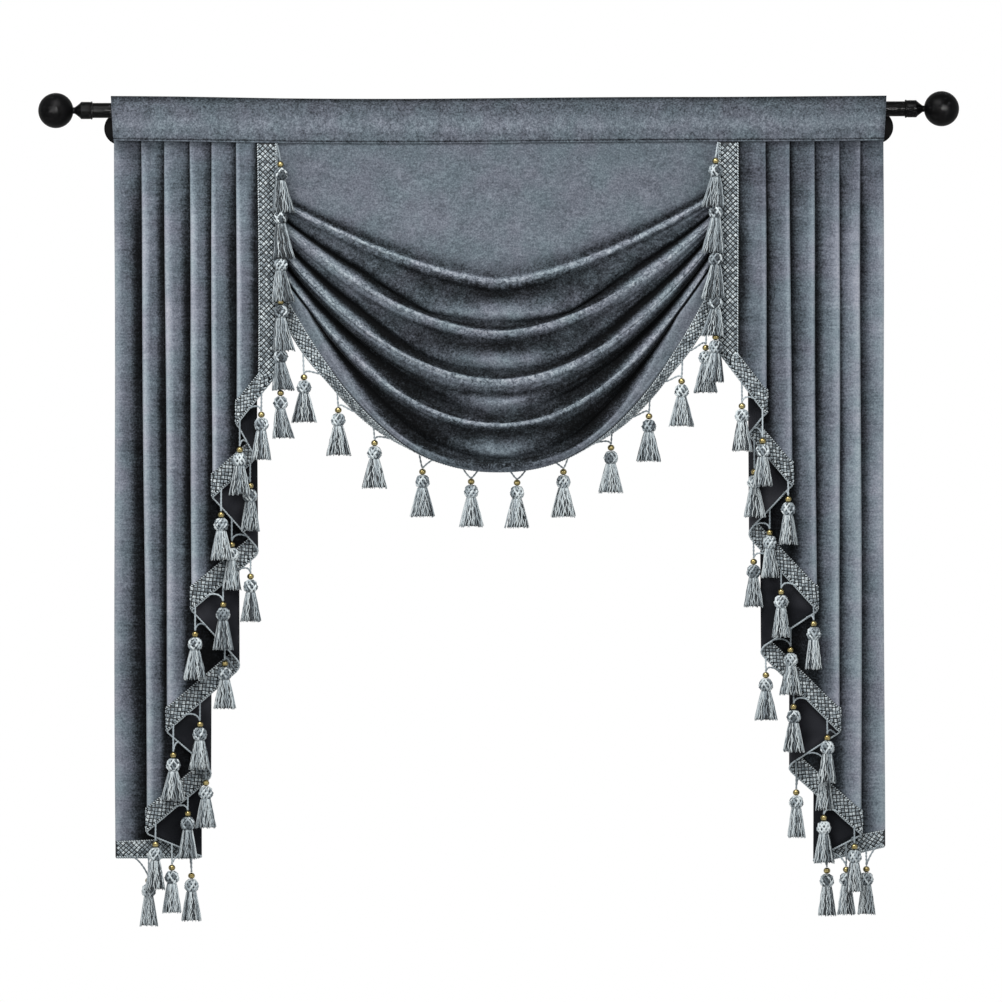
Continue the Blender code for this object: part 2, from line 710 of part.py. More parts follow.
def build_swag(cloth):
    middle, normals = swag_grid()
    shell = Shell()
    closed_sheet(shell, middle[:-1], normals[:-1], CLOTH)
    made = shell.object("swag", cloth)
    round_off(made, 60)


def build_swag_fringe(yarn):
    middle, normals = swag_grid()
    upper = shifted(middle[-2], middle[-1], SEAM_GAP)
    strip = Shell()
    closed_sheet(strip, [upper, middle[-1]], [normals[-2], normals[-1]], CLOTH)
    braid = strip.object("fringe_swag", yarn)
    hanging = Shell()
    for x, cord in SWAG_TASSELS:
        cut, hem = swag_line(x)[-2:]
        depth = blend(hem[0], cut[0], 0.1)
        above = 0.004 * smooth((hem[1] - cut[1]) / HEM_RISE_AT_MIDDLE)
        root = Vector((x, FRONT_PLANE + depth, blend(hem[1], cut[1], 0.1) + above))
        add_tassel(hanging, root, root, cord + HEM_ROOT, SWAG_TASSEL_WIDTH, SKIRT_LENGTH)
    unite(braid, [hanging.object("fringe_swag_tassels")])
    round_off(braid, 60)


# ---- tassels ----------------------------------------------------------------------------
def add_tassel(shell, root, plumb, cord, width, skirt):
    """One tassel: a cord from its root, a knotted head and four locks that stand apart.

    plumb is a point on the tassel's own upright axis; its z isn't used.
    """
    top = root.z - cord

    def square(centre, radius, z):
        corners = ((1, 1), (-1, 1), (-1, -1), (1, -1))
        return shell.add([(centre.x + radius * sx, centre.y + radius * sy, z) for sx, sy in corners])

    def octagon(radius, z):
        # Its sides face the way the square's corners point, and the four ways between them.
        angles = [math.radians(22.5 + 45 * i) for i in range(8)]
        return shell.add(
            [(plumb.x + radius * math.cos(a), plumb.y + radius * math.sin(a), z) for a in angles]
        )

    start = square(root, CORD_RADIUS, root.z)
    bend = square(root, CORD_RADIUS, root.z - 0.6 * cord)
    end = square(plumb, CORD_RADIUS, top)
    shell.faces.append(tuple(start))
    shell.bridge(start, bend)
    shell.bridge(bend, end)
    waist = octagon(HEAD_RADIUS, top - HEAD_HEIGHT * 0.55)
    neck = octagon(NECK_OF_TASSEL, top - HEAD_HEIGHT)
    for i in range(4):
        # Octagon point 2i lies beside square corner i, on its other side point 2i + 1.
        shell.faces.append((end[i], waist[2 * i], waist[2 * i + 1]))
        shell.faces.append((end[i], waist[2 * i + 1], waist[(2 * i + 2) % 8], end[(i + 1) % 4]))
    shell.bridge(waist, neck)
    add_locks(shell, plumb, neck, top - HEAD_HEIGHT, width, skirt)


def add_locks(shell, plumb, neck, z, width, skirt):
    """Four locks below a head: right, back, left and front, each from its own root."""
    half = width / 2
    corners = ((1, 1), (-1, 1), (-1, -1), (1, -1))
    inner = shell.add([(plumb.x + LOCK_ROOT * sx, plumb.y + LOCK_ROOT * sy, z) for sx, sy in corners])
    shell.faces.append(tuple(inner))
    for i in range(4):
        shell.faces.append((neck[2 * i], neck[2 * i + 1], inner[i]))
    # Columns: fall, inner and outer edge of a side lock, its half depth, then half width, near and far
    # edge of a front or back lock, which runs straight to the lower level.
    levels = (
        (0.48, 0.36 * half, 0.80 * half, 0.0038, 0.28 * half, 0.0034, 0.0082),
        (1.00, 0.44 * half, 1.00 * half, 0.0044, 0.36 * half, 0.0038, SKIRT_DEPTH),
    )
    for quarter in range(4):
        # The octagon's side that faces this way runs from point 2q - 1 to point 2q.
        before = (quarter - 1) % 4
        ring = [neck[(2 * quarter - 1) % 8], neck[2 * quarter], inner[quarter], inner[before]]
        for fall, side_in, side_out, half_depth, half_width, near, far in levels[quarter % 2:]:
            if quarter % 2:
                shape = ((far, half_width), (far, -half_width), (near, -half_width), (near, half_width))
                shape = [(along, depth) for depth, along in shape]
            else:
                shape = [(side_out, -half_depth), (side_out, half_depth)]
                shape += [(side_in, half_depth), (side_in, -half_depth)]
            turn = -1 if quarter >= 2 else 1
            low = shell.add([(plumb.x + turn * a, plumb.y + turn * b, z - skirt * fall) for a, b in shape])
            shell.bridge(ring, low)
            ring = low
        shell.faces.append(tuple(ring))


# ---- assembly ---------------------------------------------------------------------------
def main():
    for existing in list(bpy.data.objects):
        bpy.data.objects.remove(existing)
    metal = plain_material("satin_black_metal", SATIN_BLACK, 0.35, metallic=0.6)
    velvet = plain_material("slate_velvet", SLATE_VELVET, 0.85, sheen=0.4)
    band = plain_material("slate_band", SLATE_BAND, 0.85, sheen=0.4)
    yarn = plain_material("silver_braid", SILVER_BRAID, 0.55)
    build_rod(metal)
    for name, side in (("left", -1), ("right", 1)):
        build_finial("finial_" + name, side, metal)
        build_bracket("bracket_" + name, side, metal)
    build_heading(band)
    build_swag(velvet)
    build_tail("tail_left", TAIL_FOLDS_LEFT, -1, velvet)
    build_tail("tail_right", TAIL_FOLDS_RIGHT, 1, velvet)
    build_swag_fringe(yarn)
    build_tail_fringe("fringe_tail_left", TAIL_FOLDS_LEFT, -1, TAIL_TASSELS_LEFT, EDGE_TASSELS_LEFT, yarn)
    build_tail_fringe("fringe_tail_right", TAIL_FOLDS_RIGHT, 1, TAIL_TASSELS_RIGHT, EDGE_TASSELS_RIGHT, yarn)


main()
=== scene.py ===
import math

import bmesh
import bpy
import numpy as np
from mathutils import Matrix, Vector, noise


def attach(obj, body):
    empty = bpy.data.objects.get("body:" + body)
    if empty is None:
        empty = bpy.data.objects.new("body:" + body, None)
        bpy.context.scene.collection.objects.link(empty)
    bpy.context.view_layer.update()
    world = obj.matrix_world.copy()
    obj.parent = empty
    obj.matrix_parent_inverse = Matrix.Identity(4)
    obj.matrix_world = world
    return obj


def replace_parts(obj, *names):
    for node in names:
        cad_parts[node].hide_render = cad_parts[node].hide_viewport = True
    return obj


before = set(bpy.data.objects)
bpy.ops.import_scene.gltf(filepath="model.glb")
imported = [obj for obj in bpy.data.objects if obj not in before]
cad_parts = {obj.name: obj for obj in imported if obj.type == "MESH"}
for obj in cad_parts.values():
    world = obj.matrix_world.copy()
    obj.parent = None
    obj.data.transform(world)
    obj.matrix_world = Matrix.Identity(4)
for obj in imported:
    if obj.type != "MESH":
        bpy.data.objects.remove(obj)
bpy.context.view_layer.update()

# ---- camera ------------------------------------------------------------------------------
# A camera square on to the drape, far enough back to see it nearly without perspective, and
# turned a hair so that the rod's left end hangs a little lower than its right end.
CAMERA_DISTANCE = 24.0
CAMERA_AIM = (0.0029, -0.0990, -0.7558)
VIEW_WIDTH = 1.9339
CAMERA_ROLL = 0.12
SENSOR_WIDTH = 36.0

camera_data = bpy.data.cameras.new("camera")
camera_data.sensor_width = SENSOR_WIDTH
camera_data.lens = SENSOR_WIDTH * CAMERA_DISTANCE / VIEW_WIDTH
camera = bpy.data.objects.new("camera", camera_data)
camera.location = (CAMERA_AIM[0], CAMERA_AIM[1] - CAMERA_DISTANCE, CAMERA_AIM[2])
camera.rotation_euler = (math.pi / 2, math.radians(CAMERA_ROLL), 0)
bpy.context.collection.objects.link(camera)
bpy.context.scene.camera = camera

# ---- studio ------------------------------------------------------------------------------
# A white studio: a pale floor below the drape, a white surround that the camera sees at full
# brightness, a large soft light above and in front, and a weaker soft one from either side.  Narrow
# lamps that light only the rod and its finials put a highlight on each ball and a line on the rod.
FLOOR_DROP = 2.3
FLOOR_REACH = 3.0
SURROUND_LIGHT = 0.42
# One row for each soft light.  Columns: place, width, height, watts.
STUDIO_LIGHTS = (
    ((-0.6, -2.2, 2.2), 2.4, 1.6, 97),
    ((-1.5, -2.6, 0.15), 1.5, 0.9, 15),
    ((1.5, -2.6, 0.15), 1.5, 0.9, 13),
)
# One row for each pair of narrow lamps.  Columns: distance from the middle, width, height, distance of
# the place that it aims at, watts, spread in degrees.
METAL_LIGHTS = (
    (1.95, 0.26, 0.26, 0.915, 0.45, 10),
    (0.80, 0.26, 0.12, 0.800, 0.18, 7),
)
METAL_LIGHT_BEFORE = 2.6

bpy.context.scene.view_settings.view_transform = "Standard"
world = bpy.data.worlds.new("white_studio")
bpy.context.scene.world = world
world.use_nodes = True
world_nodes = world.node_tree.nodes
world_links = world.node_tree.links
seen = world_nodes.new("ShaderNodeLightPath")
level = world_nodes.new("ShaderNodeMapRange")
level.inputs["To Min"].default_value = SURROUND_LIGHT
level.inputs["To Max"].default_value = 1.0
world_links.new(seen.outputs["Is Camera Ray"], level.inputs["Value"])
world_nodes["Background"].inputs["Color"].default_value = (1, 1, 1, 1)
world_links.new(level.outputs["Result"], world_nodes["Background"].inputs["Strength"])


def new_material(name, values):
    """A named material, its node tree and its shader, with plain values for the shader's own inputs."""
    material = bpy.data.materials.new(name)
    material.use_nodes = True
    shader = material.node_tree.nodes["Principled BSDF"]
    for entry, value in values.items():
        shader.inputs[entry].default_value = value
    return material, material.node_tree, shader


def add_light(name, place, aim, width, height, watts):
    """A rectangular lamp that looks from its place at its aim."""
    lamp = bpy.data.lights.new(name, "AREA")
    lamp.shape = "RECTANGLE"
    lamp.size = width
    lamp.size_y = height
    lamp.energy = watts
    light = bpy.data.objects.new(name, lamp)
    light.location = place
    light.rotation_euler = (Vector(aim) - light.location).to_track_quat("-Z", "Y").to_euler()
    bpy.context.collection.objects.link(light)
    return light


for place, width, height, watts in STUDIO_LIGHTS:
    add_light("studio_light", place, CAMERA_AIM, width, height, watts)
shiny_pieces = bpy.data.collections.new("shiny_pieces")
for x, width, height, aim, watts, spread in METAL_LIGHTS:
    for side in (-1, 1):
        place = (side * x, -METAL_LIGHT_BEFORE, 0)
        light = add_light("metal_light", place, (side * aim, 0, 0), width, height, watts)
        light.data.spread = math.radians(spread)
        light.light_linking.receiver_collection = shiny_pieces

floor_mesh = bpy.data.meshes.new("floor")
floor_corners = ((-1, -1), (1, -1), (1, 1), (-1, 1))
floor_mesh.from_pydata(
    [(FLOOR_REACH * x, FLOOR_REACH * y, -FLOOR_DROP) for x, y in floor_corners], [], [(0, 1, 2, 3)]
)
floor = bpy.data.objects.new("floor", floor_mesh)
bpy.context.collection.objects.link(floor)
floor_values = {"Base Color": (0.85, 0.85, 0.85, 1), "Roughness": 0.9}
floor_paint, tree, shader = new_material("pale_floor", floor_values)
floor_mesh.materials.append(floor_paint)

# ---- rod ---------------------------------------------------------------------------------
# The rod is a steel tube, coated satin black, that the two brackets hold off the wall.  The
# heading hides all but its two ends.
ROD_RADIUS = 0.0145
ROD_HALF_LENGTH = 0.7842
ROD_FROM_WALL = 0.085
ROD_RINGS = 12
TURNED_SEGMENTS = 72


def blend(a, b, share):
    return a + (b - a) * share


def smooth(share):
    share = min(max(share, 0.0), 1.0)
    return share * share * (3 - 2 * share)


def add_piece(name, points, faces, materials):
    """Makes one smooth-shaded piece that hangs with the whole, with the given materials."""
    mesh = bpy.data.meshes.new(name)
    mesh.from_pydata(points, [], faces)
    for material in materials:
        mesh.materials.append(material)
    mesh.shade_smooth()
    piece = bpy.data.objects.new(name, mesh)
    bpy.context.collection.objects.link(piece)
    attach(piece, "root")
    return piece


def turned_rings(profile, segments, place):
    """Points and faces of a body turned about a line, from (along, radius) pairs."""
    points = []
    faces = []
    rings = []
    for along, radius in profile:
        first = len(points)
        if radius == 0:
            points.append(place(along, 0, 0))
            rings.append([first] * segments)
            continue
        for i in range(segments):
            angle = 2 * math.pi * i / segments
            points.append(place(along, radius * math.cos(angle), radius * math.sin(angle)))
        rings.append(list(range(first, first + segments)))
    for ring_a, ring_b in zip(rings, rings[1:]):
        for i in range(segments):
            j = (i + 1) % segments
            corners = (ring_a[i], ring_b[i], ring_b[j], ring_a[j])
            faces.append(tuple(dict.fromkeys(corners)))
    for ring, turn in ((rings[0], 1), (rings[-1], -1)):
        if len(set(ring)) > 1:
            faces.append(tuple(ring[::turn]))
    return points, faces


def facing_out(piece):
    """Turns every face of a closed piece outwards and keeps its hard edges sharp."""
    work = bmesh.new()
    work.from_mesh(piece.data)
    bmesh.ops.recalc_face_normals(work, faces=work.faces)
    work.to_mesh(piece.data)
    work.free()
    piece.data.set_sharp_from_angle(angle=math.radians(35))
    return piece


def add_node(tree, kind, values=(), **settings):
    """A node with its settings; its inputs are (name, value) pairs of numbers or other nodes' outputs."""
    node = tree.nodes.new(kind)
    for setting, value in settings.items():
        setattr(node, setting, value)
    for entry, value in values:
        if isinstance(value, bpy.types.NodeSocket):
            tree.links.new(value, node.inputs[entry])
        else:
            node.inputs[entry].default_value = value
    return node


def object_place(tree):
    return add_node(tree, "ShaderNodeTexCoord").outputs["Object"]


def add_noise(tree, vector, scale, detail=2.0, roughness=0.5, distortion=0.0):
    values = [("Vector", vector), ("Scale", scale), ("Detail", detail), ("Roughness", roughness)]
    return add_node(tree, "ShaderNodeTexNoise", values + [("Distortion", distortion)]).outputs["Fac"]


def add_range(tree, value, low, high, start=0.0, end=1.0):
    """Spreads a value that runs from start to end over low to high."""
    limits = [("From Min", start), ("From Max", end), ("To Min", low), ("To Max", high)]
    return add_node(tree, "ShaderNodeMapRange", [("Value", value)] + limits).outputs["Result"]


def colour_steps(tree, value, steps):
    """A colour ramp over a value, with the given (place, colour) steps."""
    ramp = add_node(tree, "ShaderNodeValToRGB", [("Fac", value)])
    marks = ramp.color_ramp.elements
    while len(marks) < len(steps):
        marks.new(0.5)
    for mark, (place, colour) in zip(marks, steps):
        mark.position = place
        mark.color = (*colour, 1)
    return ramp.outputs["Color"]


def dress(tree, shader, colour, roughness=None, height=None, strength=0.0, distance=0.0):
    """Feeds a shader with the outputs for its colour and its roughness, and with a bump."""
    tree.links.new(colour, shader.inputs["Base Color"])
    if roughness:
        tree.links.new(roughness, shader.inputs["Roughness"])
    if height:
        values = [("Strength", strength), ("Distance", distance), ("Height", height)]
        bump = add_node(tree, "ShaderNodeBump", values)
        tree.links.new(bump.outputs["Normal"], shader.inputs["Normal"])


satin_black, tree, shader = new_material("satin_black_coat", {"Metallic": 0.0, "Specular IOR Level": 0.07})
place = object_place(tree)
cloudy = add_noise(tree, place, 35.0, 3.0)
coat = colour_steps(tree, cloudy, ((0.3, (0.0008, 0.0008, 0.0009)), (0.7, (0.0016, 0.0016, 0.0018))))
gloss = add_range(tree, cloudy, 0.34, 0.38)
dress(tree, shader, coat, gloss, add_noise(tree, place, 900.0), 0.04, 0.0004)

rod_points, rod_faces = turned_rings(
    [(blend(-ROD_HALF_LENGTH, ROD_HALF_LENGTH, i / ROD_RINGS), ROD_RADIUS) for i in range(ROD_RINGS + 1)],
    TURNED_SEGMENTS,
    lambda x, y, z: (x, y - ROD_FROM_WALL, z),
)
rod = facing_out(add_piece("rod_tube", rod_points, rod_faces, [satin_black]))
shiny_pieces.objects.link(rod)
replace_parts(rod, "rod")

# ---- finials -----------------------------------------------------------------------------
# Each finial is one turned metal piece, pushed on to the rod's end: a ball on a slim neck, a
# short cone, and a collar with a raised lip and a fine groove.
BALL_RADIUS = 0.034
BALL_CENTRE = 0.071
COLLAR_RADIUS = 0.0166
COLLAR_LENGTH = 0.0226
COLLAR_LIP = 0.0008
LIP_LENGTH = 0.0036
CONE_END = 0.0346
NECK_RADIUS = 0.0062
GROOVE = 0.0006
CONE_HOLLOW = 0.85
END_GAP = 0.0003


def finial_profile():
    lip = COLLAR_RADIUS + COLLAR_LIP
    profile = [
        (END_GAP, lip - GROOVE),
        (END_GAP + GROOVE, lip),
        (LIP_LENGTH - GROOVE, lip),
        (LIP_LENGTH, lip - GROOVE),
        (LIP_LENGTH + GROOVE, COLLAR_RADIUS - GROOVE),
        (LIP_LENGTH + 3 * GROOVE, COLLAR_RADIUS),
        (COLLAR_LENGTH - GROOVE, COLLAR_RADIUS),
        (COLLAR_LENGTH, COLLAR_RADIUS - GROOVE),
    ]
    steps = 8
    for i in range(1, steps + 1):
        # The cone hollows towards the neck.
        share = i / steps
        along = blend(COLLAR_LENGTH, CONE_END, share)
        profile.append((along, blend(COLLAR_RADIUS - GROOVE, NECK_RADIUS, share ** CONE_HOLLOW)))
    neck_angle = math.asin(NECK_RADIUS / BALL_RADIUS)
    steps = 36
    for i in range(steps):
        angle = blend(math.pi - neck_angle, 0.0, i / steps)
        profile.append((BALL_CENTRE + BALL_RADIUS * math.cos(angle), BALL_RADIUS * math.sin(angle)))
    profile.append((BALL_CENTRE + BALL_RADIUS, 0))
    return profile


for name, side in (("left", -1), ("right", 1)):
    finial_points, finial_faces = turned_rings(
        finial_profile(),
        TURNED_SEGMENTS,
        lambda along, y, z: (side * (ROD_HALF_LENGTH + along), y - ROD_FROM_WALL, z),
    )
    finial = add_piece("finial_ball_" + name, finial_points, finial_faces, [satin_black])
    shiny_pieces.objects.link(finial)
    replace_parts(facing_out(finial), "finial_" + name)

# ---- brackets ----------------------------------------------------------------------------
# Each bracket is a round wall plate with a flat arm welded to it; the arm's end is cut out as
# a saddle for the rod.  The same satin black coat covers it.
BRACKET_X = 0.7325
PLATE_RADIUS = 0.032
PLATE_THICKNESS = 0.006
PLATE_DROP = 0.0326
PLATE_RIM = 0.0025
ARM_HALF_WIDTH = 0.007
ARM_HALF_HEIGHT = 0.006
ARM_PAST_ROD = 0.006
SADDLE_THICKNESS = 0.004
SADDLE_SPREAD = 46
SADDLE_FOOT = (0.011, 0.013)
ROD_CLEARANCE = 0.0003
ARM_BEVEL = 0.0008


def arm_outline():
    """The arm's side view as (y, z): a bar below the rod, and the saddle that cups the rod."""
    inner = ROD_RADIUS + ROD_CLEARANCE
    outer = inner + SADDLE_THICKNESS
    low = -PLATE_DROP - ARM_HALF_HEIGHT
    high = -PLATE_DROP + ARM_HALF_HEIGHT
    spread = math.radians(SADDLE_SPREAD)
    steps = 24
    points = [(-PLATE_THICKNESS, low), (-ROD_FROM_WALL - ARM_PAST_ROD, low)]
    points.append((-ROD_FROM_WALL - SADDLE_FOOT[0], high))
    points.append((-ROD_FROM_WALL - outer * math.sin(spread), -outer * math.cos(spread)))
    for i in range(steps + 1):
        angle = blend(-spread, spread, i / steps)
        points.append((-ROD_FROM_WALL + inner * math.sin(angle), -inner * math.cos(angle)))
    points.append((-ROD_FROM_WALL + outer * math.sin(spread), -outer * math.cos(spread)))
    points += [(-ROD_FROM_WALL + SADDLE_FOOT[1], high), (-PLATE_THICKNESS, high)]
    return points


for name, side in (("left", -1), ("right", 1)):
    centre = side * BRACKET_X
    rim_steps = 6
    plate_profile = [(0, 0), (0, PLATE_RADIUS)]
    for i in range(rim_steps + 1):
        angle = math.pi / 2 * i / rim_steps
        plate_profile.append((
            -PLATE_THICKNESS + PLATE_RIM * (1 - math.sin(angle)),
            PLATE_RADIUS - PLATE_RIM * (1 - math.cos(angle)),
        ))
    plate_profile.append((-PLATE_THICKNESS, 0))
    plate_points, plate_faces = turned_rings(
        plate_profile, TURNED_SEGMENTS, lambda y, x, z: (x + centre, y, z - PLATE_DROP)
    )
    plate = add_piece("wall_plate_" + name, plate_points, plate_faces, [satin_black])
    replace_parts(facing_out(plate), "bracket_" + name)
    outline = arm_outline()
    count = len(outline)
    arm_points = [(centre + half, y, z) for half in (-ARM_HALF_WIDTH, ARM_HALF_WIDTH) for y, z in outline]
    arm_faces = [(i, (i + 1) % count, count + (i + 1) % count, count + i) for i in range(count)]
    arm_faces += [tuple(range(count)), tuple(range(2 * count - 1, count - 1, -1))]
    arm = facing_out(add_piece("rod_arm_" + name, arm_points, arm_faces, [satin_black]))
    rounding = arm.modifiers.new("worn_edges", "BEVEL")
    rounding.width = ARM_BEVEL
    rounding.segments = 2
    rounding.angle_limit = math.radians(35)

# ---- heading -----------------------------------------------------------------------------
# The heading is one straight strip of the same velvet, folded over at the top, taken round the
# rod as a pocket and stitched down below it.  Its front layer hangs on as a flap and covers the
# gathered tops of the swag and the tails.
HEADING_HALF_WIDTH = 0.749
HEADING_CLOTH = 0.0022
HEADER_TOP = 0.0265
HEADING_DROP = 0.0600
HEADING_SAG = 0.005
HEADING_END_SLANT = 0.06
POCKET_HALF_WIDTH = 0.7115
POCKET_SEAM_DROP = 0.0215
HEADING_COLUMNS = 112
HEADING_ROWS = 96
HEADING_CRUSH = 0.22
CRUSH_CONTRAST = 2.2
POCKET_EASE = 0.0005
POCKET_PUCKER = 0.0006
POCKET_LUMP = 0.0011
HEADER_WAVE = 0.0012
# The round of the header's fold: depth from the rod's axis, drop from the header's top.
HEADER_FOLD = ((-0.0030, 0.0022), (-0.0010, 0.0002), (0.0014, 0.0022))


def add_maths(tree, operation, *values, clamp=False):
    """A Math node over numbers and other nodes' outputs."""
    node = add_node(tree, "ShaderNodeMath", list(enumerate(values)), operation=operation, use_clamp=clamp)
    return node.outputs[0]


def new_group(name, vectors, numbers, results):
    """A node group with its inputs, which are vectors and then numbers, and its outputs, all numbers."""
    group = bpy.data.node_groups.new(name, "ShaderNodeTree")
    for entry in vectors:
        group.interface.new_socket(entry, in_out="INPUT", socket_type="NodeSocketVector")
    for entry in numbers:
        group.interface.new_socket(entry, in_out="INPUT", socket_type="NodeSocketFloat")
    for entry in results:
        group.interface.new_socket(entry, in_out="OUTPUT", socket_type="NodeSocketFloat")
    return group, add_node(group, "NodeGroupInput").outputs


def velvet_pile_group():
    """Brushed pile: cloudy patches, tufts, streaks along one direction, and lumps where it is crushed; Shade
    is painted shade taken off its tone.
    """
    group, given = new_group(
        "velvet_pile", ("Streak",), ("Contrast", "Shade", "Crush"), ("Tone", "Tint", "Height", "Roughness")
    )
    place = object_place(group)
    stretched = add_node(
        group, "ShaderNodeVectorMath", [(0, place), (1, given["Streak"])], operation="MULTIPLY"
    ).outputs["Vector"]
    clouds = add_noise(group, place, 30.0, 3.0, 0.6)
    brushed = add_noise(group, stretched, 190.0, 3.0, 0.65)
    tufts = add_noise(group, place, 300.0, 3.0, 0.65)
    lumps = add_noise(group, place, 105.0, 5.0, 0.75, 1.4)
    parts = [
        add_maths(group, "MULTIPLY", add_maths(group, "ADD", source, -0.5), weight)
        for source, weight in ((clouds, 0.40), (brushed, 0.7), (tufts, 1.5))
    ]
    pile = add_maths(group, "ADD", add_maths(group, "ADD", parts[0], parts[1]), parts[2])
    crushed = add_maths(group, "MULTIPLY", add_maths(group, "ADD", lumps, -0.5), given["Crush"])
    toned = add_maths(group, "ADD", add_maths(group, "MULTIPLY", pile, given["Contrast"]), 0.5)
    lumpy = add_maths(group, "MULTIPLY_ADD", crushed, CRUSH_CONTRAST, toned)
    add_node(group, "NodeGroupOutput", [
        ("Tone", add_maths(group, "SUBTRACT", lumpy, given["Shade"], clamp=True)),
        ("Tint", add_noise(group, place, 17.0)),
        ("Height", add_maths(group, "MULTIPLY_ADD", crushed, 3.0, pile)),
        ("Roughness", add_range(group, brushed, 0.95, 0.75)),
    ])
    return group


velvet_pile = velvet_pile_group()
SLATE_TONES = (
    (0.00, (0.0015, 0.0017, 0.0021)),
    (0.15, (0.0090, 0.0105, 0.0124)),
    (0.30, (0.0360, 0.0415, 0.0490)),
    (0.50, (0.1130, 0.1290, 0.1520)),
    (0.70, (0.2250, 0.2520, 0.2850)),
    (1.00, (0.4200, 0.4500, 0.4800)),
)
# Where the pile was brushed the light turns a little violet or a little green.
BRUSHED_TINTS = ((0.35, (1.01, 0.985, 1.02)), (0.65, (0.93, 1.015, 1.01)))
VELVET_VALUES = {
    "Sheen Weight": 0.16,
    "Sheen Roughness": 0.32,
    "Sheen Tint": (0.80, 0.88, 0.95, 1),
    "Specular IOR Level": 0.10,
}


def velvet(name, streak, contrast, shade_attribute, crush_attribute=None, tints=BRUSHED_TINTS):
    """Slate velvet; streak squeezes the brushed pile, and the named attributes darken it with painted shade
    and crush it.
    """
    material, tree, shader = new_material(name, VELVET_VALUES)
    values = [("Streak", streak), ("Contrast", contrast)]
    for entry, attribute in (("Shade", shade_attribute), ("Crush", crush_attribute)):
        if attribute:
            shade = add_node(tree, "ShaderNodeAttribute", attribute_name=attribute)
            values.append((entry, shade.outputs["Fac"]))
    pile = add_node(tree, "ShaderNodeGroup", values, node_tree=velvet_pile).outputs
    tinted = add_node(tree, "ShaderNodeMix", data_type="RGBA", blend_type="MULTIPLY")
    tinted.inputs["Factor"].default_value = 1.0
    tree.links.new(colour_steps(tree, pile["Tone"], SLATE_TONES), tinted.inputs["A"])
    tree.links.new(colour_steps(tree, pile["Tint"], tints), tinted.inputs["B"])
    dress(tree, shader, tinted.outputs["Result"], pile["Roughness"], pile["Height"], 0.22, 0.0010)
    return material


BACK_TONES = ((0.0, (0.007, 0.008, 0.010)), (0.3, (0.022, 0.023, 0.028)), (1.0, (0.085, 0.086, 0.097)))


def cloth_back_material():
    """The velvet's woven back, matte and darker than its face."""
    material, tree, shader = new_material("cloth_back", {"Roughness": 0.95, "Specular IOR Level": 0.1})
    place = object_place(tree)
    warp, weft = [
        add_node(
            tree, "ShaderNodeTexWave",
            [("Vector", place), ("Scale", 260.0), ("Distortion", 1.5), ("Detail", 1.0)],
            bands_direction=direction,
        ).outputs["Fac"]
        for direction in ("X", "Z")
    ]
    weave = add_maths(tree, "MULTIPLY", warp, weft)
    # Painted sheen: the weave is painted lighter in random patches, as if it caught the light unevenly.
    pressed = add_range(tree, add_noise(tree, place, 9.0), 0.0, 0.55, 0.42, 0.68)
    threads = add_maths(tree, "MULTIPLY_ADD", weave, 0.30, pressed)
    dress(tree, shader, colour_steps(tree, threads, BACK_TONES), None, weave, 0.25, 0.0003)
    return material


cloth_back = cloth_back_material()


def unit(vectors):
    """The same vectors, each one unit long."""
    return vectors / np.maximum(np.linalg.norm(vectors, axis=-1, keepdims=True), 1e-12)


def set_trait(piece, name, values):
    """Stores a value for each point of a piece under a name that its material reads."""
    attribute = piece.data.attributes.new(name, "FLOAT", "POINT")
    attribute.data.foreach_set("value", np.asarray(values, dtype=np.float32))


def cloth_sheet(name, grid, thickness, materials, slot, **traits):
    """A sheet from a grid of points (rows, columns, 3): face on one side, back on the other.

    The face looks the way of down x across.  traits are named values for each point of the grid.
    """
    rows, columns = grid.shape[:2]
    normals = unit(np.cross(np.gradient(grid, axis=0), np.gradient(grid, axis=1)))
    front = (grid + normals * thickness / 2).reshape(-1, 3)
    back = (grid - normals * thickness / 2).reshape(-1, 3)
    index = np.arange(rows * columns).reshape(rows, columns)
    a, b, c, d = index[:-1, :-1], index[1:, :-1], index[1:, 1:], index[:-1, 1:]
    face_quads = np.stack([a, b, c, d], axis=-1).reshape(-1, 4)
    total = rows * columns
    back_quads = face_quads[:, ::-1] + total
    border = np.concatenate([index[:, 0], index[-1, 1:], index[-2::-1, -1], index[0, -2:0:-1]])
    after = np.roll(border, -1)
    edge_quads = np.stack([border, border + total, after + total, after], axis=-1)
    points = np.concatenate([front, back])
    faces = np.concatenate([face_quads, back_quads, edge_quads])
    piece = add_piece(name, points.tolist(), faces.tolist(), materials)
    surface = np.zeros(len(faces), dtype=np.int32)
    surface[len(face_quads):len(face_quads) + len(back_quads)] = 1
    piece.data.polygons.foreach_set("material_index", surface)
    for trait, given in traits.items():
        set_trait(piece, trait, np.tile(given.ravel(), 2))
    return piece


